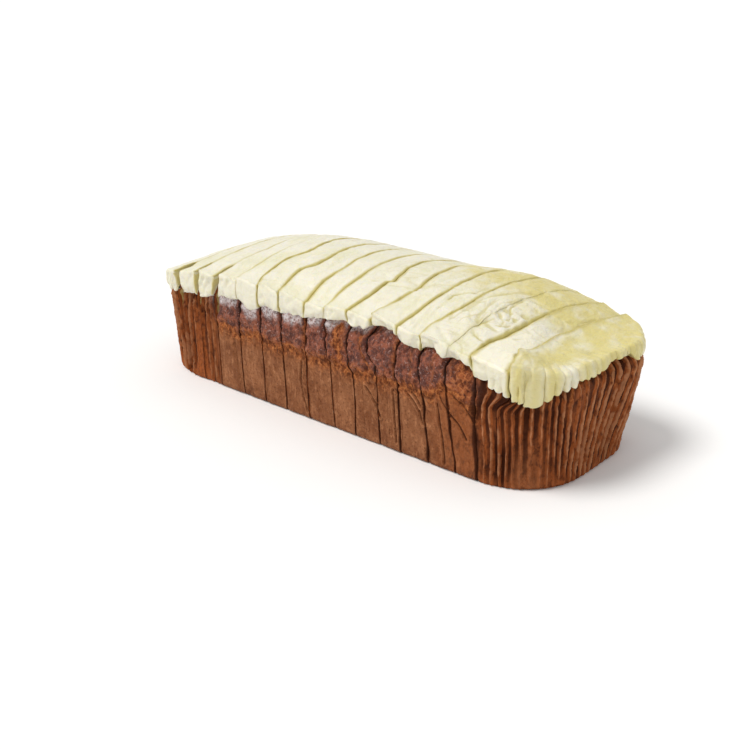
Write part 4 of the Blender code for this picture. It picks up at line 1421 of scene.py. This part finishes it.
class LoafColours(bpy.types.PropertyGroup):
    """Colours of the loaf and its stage, some of them painted light and shade."""

    icing_pale: colour("Icing", "Colour of the icing where it is lit", (0.81, 0.775, 0.648))
    # Painted light where the icing is palest, and some random lighter tone
    icing_painted_light: colour("Icing, brightest", "Colour of the icing where it is palest", (0.90, 0.855, 0.70))
    # Random tone of the icing, and painted shade in the low places of its smears
    icing_tone_and_shade: colour("Icing, smeared", "Colour of the icing in its smears", (0.73, 0.70, 0.47))
    # Painted shade of the icing, darker and warmer, at its back and near end, with random tone
    icing_olive_shade: colour("Icing, warm", "Colour of the icing at the near end", (0.68, 0.590, 0.225))
    # Painted shade of the icing in hollows, grooves and cuts
    icing_shade: colour("Icing, deep", "Colour of the icing in hollows and cuts", (0.54, 0.46, 0.155))
    crust_glossy: colour("Glossy crust", "Crust above the paper case", (0.105, 0.020, 0.009))
    crust_warm: colour("Glossy crust, lighter", "Lighter blotches of the glossy crust", (0.33, 0.088, 0.040))
    crust_dull: colour("Dull crust", "Crust where the paper case pressed", (0.330, 0.130, 0.054))
    crust_umber: colour("Dull crust, darker", "Darker blotches of the dull crust", (0.215, 0.072, 0.026))
    crust_dark: colour("Dark crust", "Dark specks of the crust", (0.090, 0.022, 0.007))
    crust_red: colour("Pleated crust", "Crust between the pleats at the ends", (0.380, 0.102, 0.025))
    # Random lighter tone of the dull crust, and painted highlight on ridges and fold lips
    crust_pale_and_highlight: colour("Ridges", "Crust on the ridges of the pleats", (0.62, 0.275, 0.130))
    # Painted shade in creases, valleys, cracks and under the icing
    crust_painted_shade: colour("Creases", "Crust deep in creases and cuts", (0.045, 0.009, 0.002))
    crust_torn: colour("Torn crust", "Rough crust where it tore", (0.40, 0.115, 0.032))
    crust_string: colour("Crust strings", "Stringy edges of the torn crust", (0.60, 0.215, 0.065))
    # Colour of the painted glints of the glossy crust
    crust_painted_glint: colour("Crust glints", "Fine glints of the glossy crust", (0.56, 0.33, 0.27))
    syrup: colour("Syrup film", "Dried syrup just below the icing", (0.72, 0.66, 0.66))
    crumb: colour("Crumb", "Inside of the sponge", (0.86, 0.74, 0.38))
    crumb_deep: colour("Crumb, deeper", "Hollows of the crumb", (0.74, 0.55, 0.22))
    seed: colour("Seeds", "Poppy seeds", (0.030, 0.030, 0.035))
    floor: colour("Floor", "The floor that the loaf stands on", (0.938, 0.936, 0.936))


def material_named(name, make, colours):
    """The finish of that name, made the first time it is asked for."""
    return bpy.data.materials.get(name) or make(colours)


class LOAF_OT_sponge(bpy.types.Operator):
    """Make the sponge of every portion, with its crust and pleats"""
    bl_idname = "loaf.sponge"
    bl_label = "Sponge portions"

    def execute(self, context):
        material = material_named("baked sponge", sponge_finish, context.scene.loaf_colours)
        for index in range(LAST + 1):
            make_sponge(index, context.scene.loaf_sizes, material)
        return {"FINISHED"}


class LOAF_OT_icing(bpy.types.Operator):
    """Make the icing of every portion, with its smears, lobes and uneven lower edge"""
    bl_idname = "loaf.icing"
    bl_label = "Icing portions"

    def execute(self, context):
        material = material_named("lemon icing", icing_finish, context.scene.loaf_colours)
        for index in range(LAST + 1):
            make_icing(index, context.scene.loaf_sizes, material)
        return {"FINISHED"}


CAMERA_AZIMUTH = math.radians(42.65)
CAMERA_ELEVATION = math.radians(21.43)
CAMERA_TARGET = Vector((-0.02962, 0.02129, 0.0))
CAMERA_DISTANCE = 0.81196
CAMERA_LENS = 67.2
CAMERA_SENSOR = 36.0
CAMERA_CLIP = (0.01, 60.0)
FLOOR_HALF_SIZE = 8.0
FLOOR_MOTTLE = 0.99
ROOM_COLOUR = (1.0, 0.995, 0.985, 1.0)
ROOM_STRENGTH = 0.66
KEY_FROM = (-0.36, -0.54, 1.15)
KEY_STRENGTH = 1.85
KEY_SPREAD = math.radians(24.0)
KEY_TINT = (1.0, 0.985, 0.96)


def sun_light(name, source, strength, spread, tint):
    """Even light from a wide source in one direction."""
    data = bpy.data.lights.new(name, "SUN")
    data.energy = strength
    data.angle = spread
    data.color = tint
    light = bpy.data.objects.new(name, data)
    light.rotation_mode = "QUATERNION"
    light.rotation_quaternion = (-Vector(source)).to_track_quat("-Z", "Y")
    bpy.context.scene.collection.objects.link(light)


class LOAF_OT_stage(bpy.types.Operator):
    """Lay the pale floor and set up the soft light and the camera"""
    bl_idname = "loaf.stage"
    bl_label = "Stage"

    def execute(self, context):
        scene = context.scene
        floor_mesh = bmesh.new()
        bmesh.ops.create_grid(floor_mesh, x_segments=1, y_segments=1, size=FLOOR_HALF_SIZE)
        mesh = bpy.data.meshes.new("floor")
        floor_mesh.to_mesh(mesh)
        floor_mesh.free()
        floor = bpy.data.objects.new("floor", mesh)
        scene.collection.objects.link(floor)
        finish = Finish("pale floor")
        tone = finish.blend(finish.noise(3.0, 2.0), scene.loaf_colours.floor,
                            [channel * FLOOR_MOTTLE for channel in scene.loaf_colours.floor])
        finish.into(finish.shader.inputs["Base Color"], tone)
        finish.shader.inputs["Roughness"].default_value = 0.9
        finish.shader.inputs["Specular IOR Level"].default_value = 0.0
        mesh.materials.append(finish.material)

        world = bpy.data.worlds.new("soft room")
        world.use_nodes = True
        background = world.node_tree.nodes["Background"]
        background.inputs["Color"].default_value = ROOM_COLOUR
        background.inputs["Strength"].default_value = ROOM_STRENGTH
        scene.world = world
        sun_light("key", KEY_FROM, KEY_STRENGTH, KEY_SPREAD, KEY_TINT)

        back = Vector((math.sin(CAMERA_AZIMUTH) * math.cos(CAMERA_ELEVATION),
                       -math.cos(CAMERA_AZIMUTH) * math.cos(CAMERA_ELEVATION),
                       math.sin(CAMERA_ELEVATION)))
        data = bpy.data.cameras.new("camera")
        data.lens = CAMERA_LENS
        data.sensor_width = CAMERA_SENSOR
        data.clip_start, data.clip_end = CAMERA_CLIP
        camera = bpy.data.objects.new("camera", data)
        camera.location = CAMERA_TARGET + back * CAMERA_DISTANCE
        camera.rotation_mode = "QUATERNION"
        camera.rotation_quaternion = (-back).to_track_quat("-Z", "Y")
        scene.collection.objects.link(camera)
        scene.camera = camera
        scene.view_settings.view_transform = "Standard"
        return {"FINISHED"}


OPERATORS = (LOAF_OT_sponge, LOAF_OT_icing, LOAF_OT_stage)


class LOAF_PT_panel(bpy.types.Panel):
    """Pieces of the loaf, with their sizes and colours"""
    bl_idname = "LOAF_PT_panel"
    bl_label = "Iced loaf cake"
    bl_space_type = "VIEW_3D"
    bl_region_type = "UI"
    bl_category = "Loaf"

    def draw(self, context):
        for operator in OPERATORS:
            self.layout.operator(operator.bl_idname)
        for group in (context.scene.loaf_sizes, context.scene.loaf_colours):
            box = self.layout.box()
            for name in group.__annotations__:
                box.prop(group, name)


CLASSES = (LoafSizes, LoafColours, *OPERATORS, LOAF_PT_panel)


def register():
    for item in CLASSES:
        bpy.utils.register_class(item)
    bpy.types.Scene.loaf_sizes = bpy.props.PointerProperty(type=LoafSizes)
    bpy.types.Scene.loaf_colours = bpy.props.PointerProperty(type=LoafColours)


def unregister():
    del bpy.types.Scene.loaf_colours
    del bpy.types.Scene.loaf_sizes
    for item in reversed(CLASSES):
        bpy.utils.unregister_class(item)


def main():
    register()
    bpy.ops.loaf.sponge()
    bpy.ops.loaf.icing()
    bpy.ops.loaf.stage()


if __name__ == "__main__":
    main()
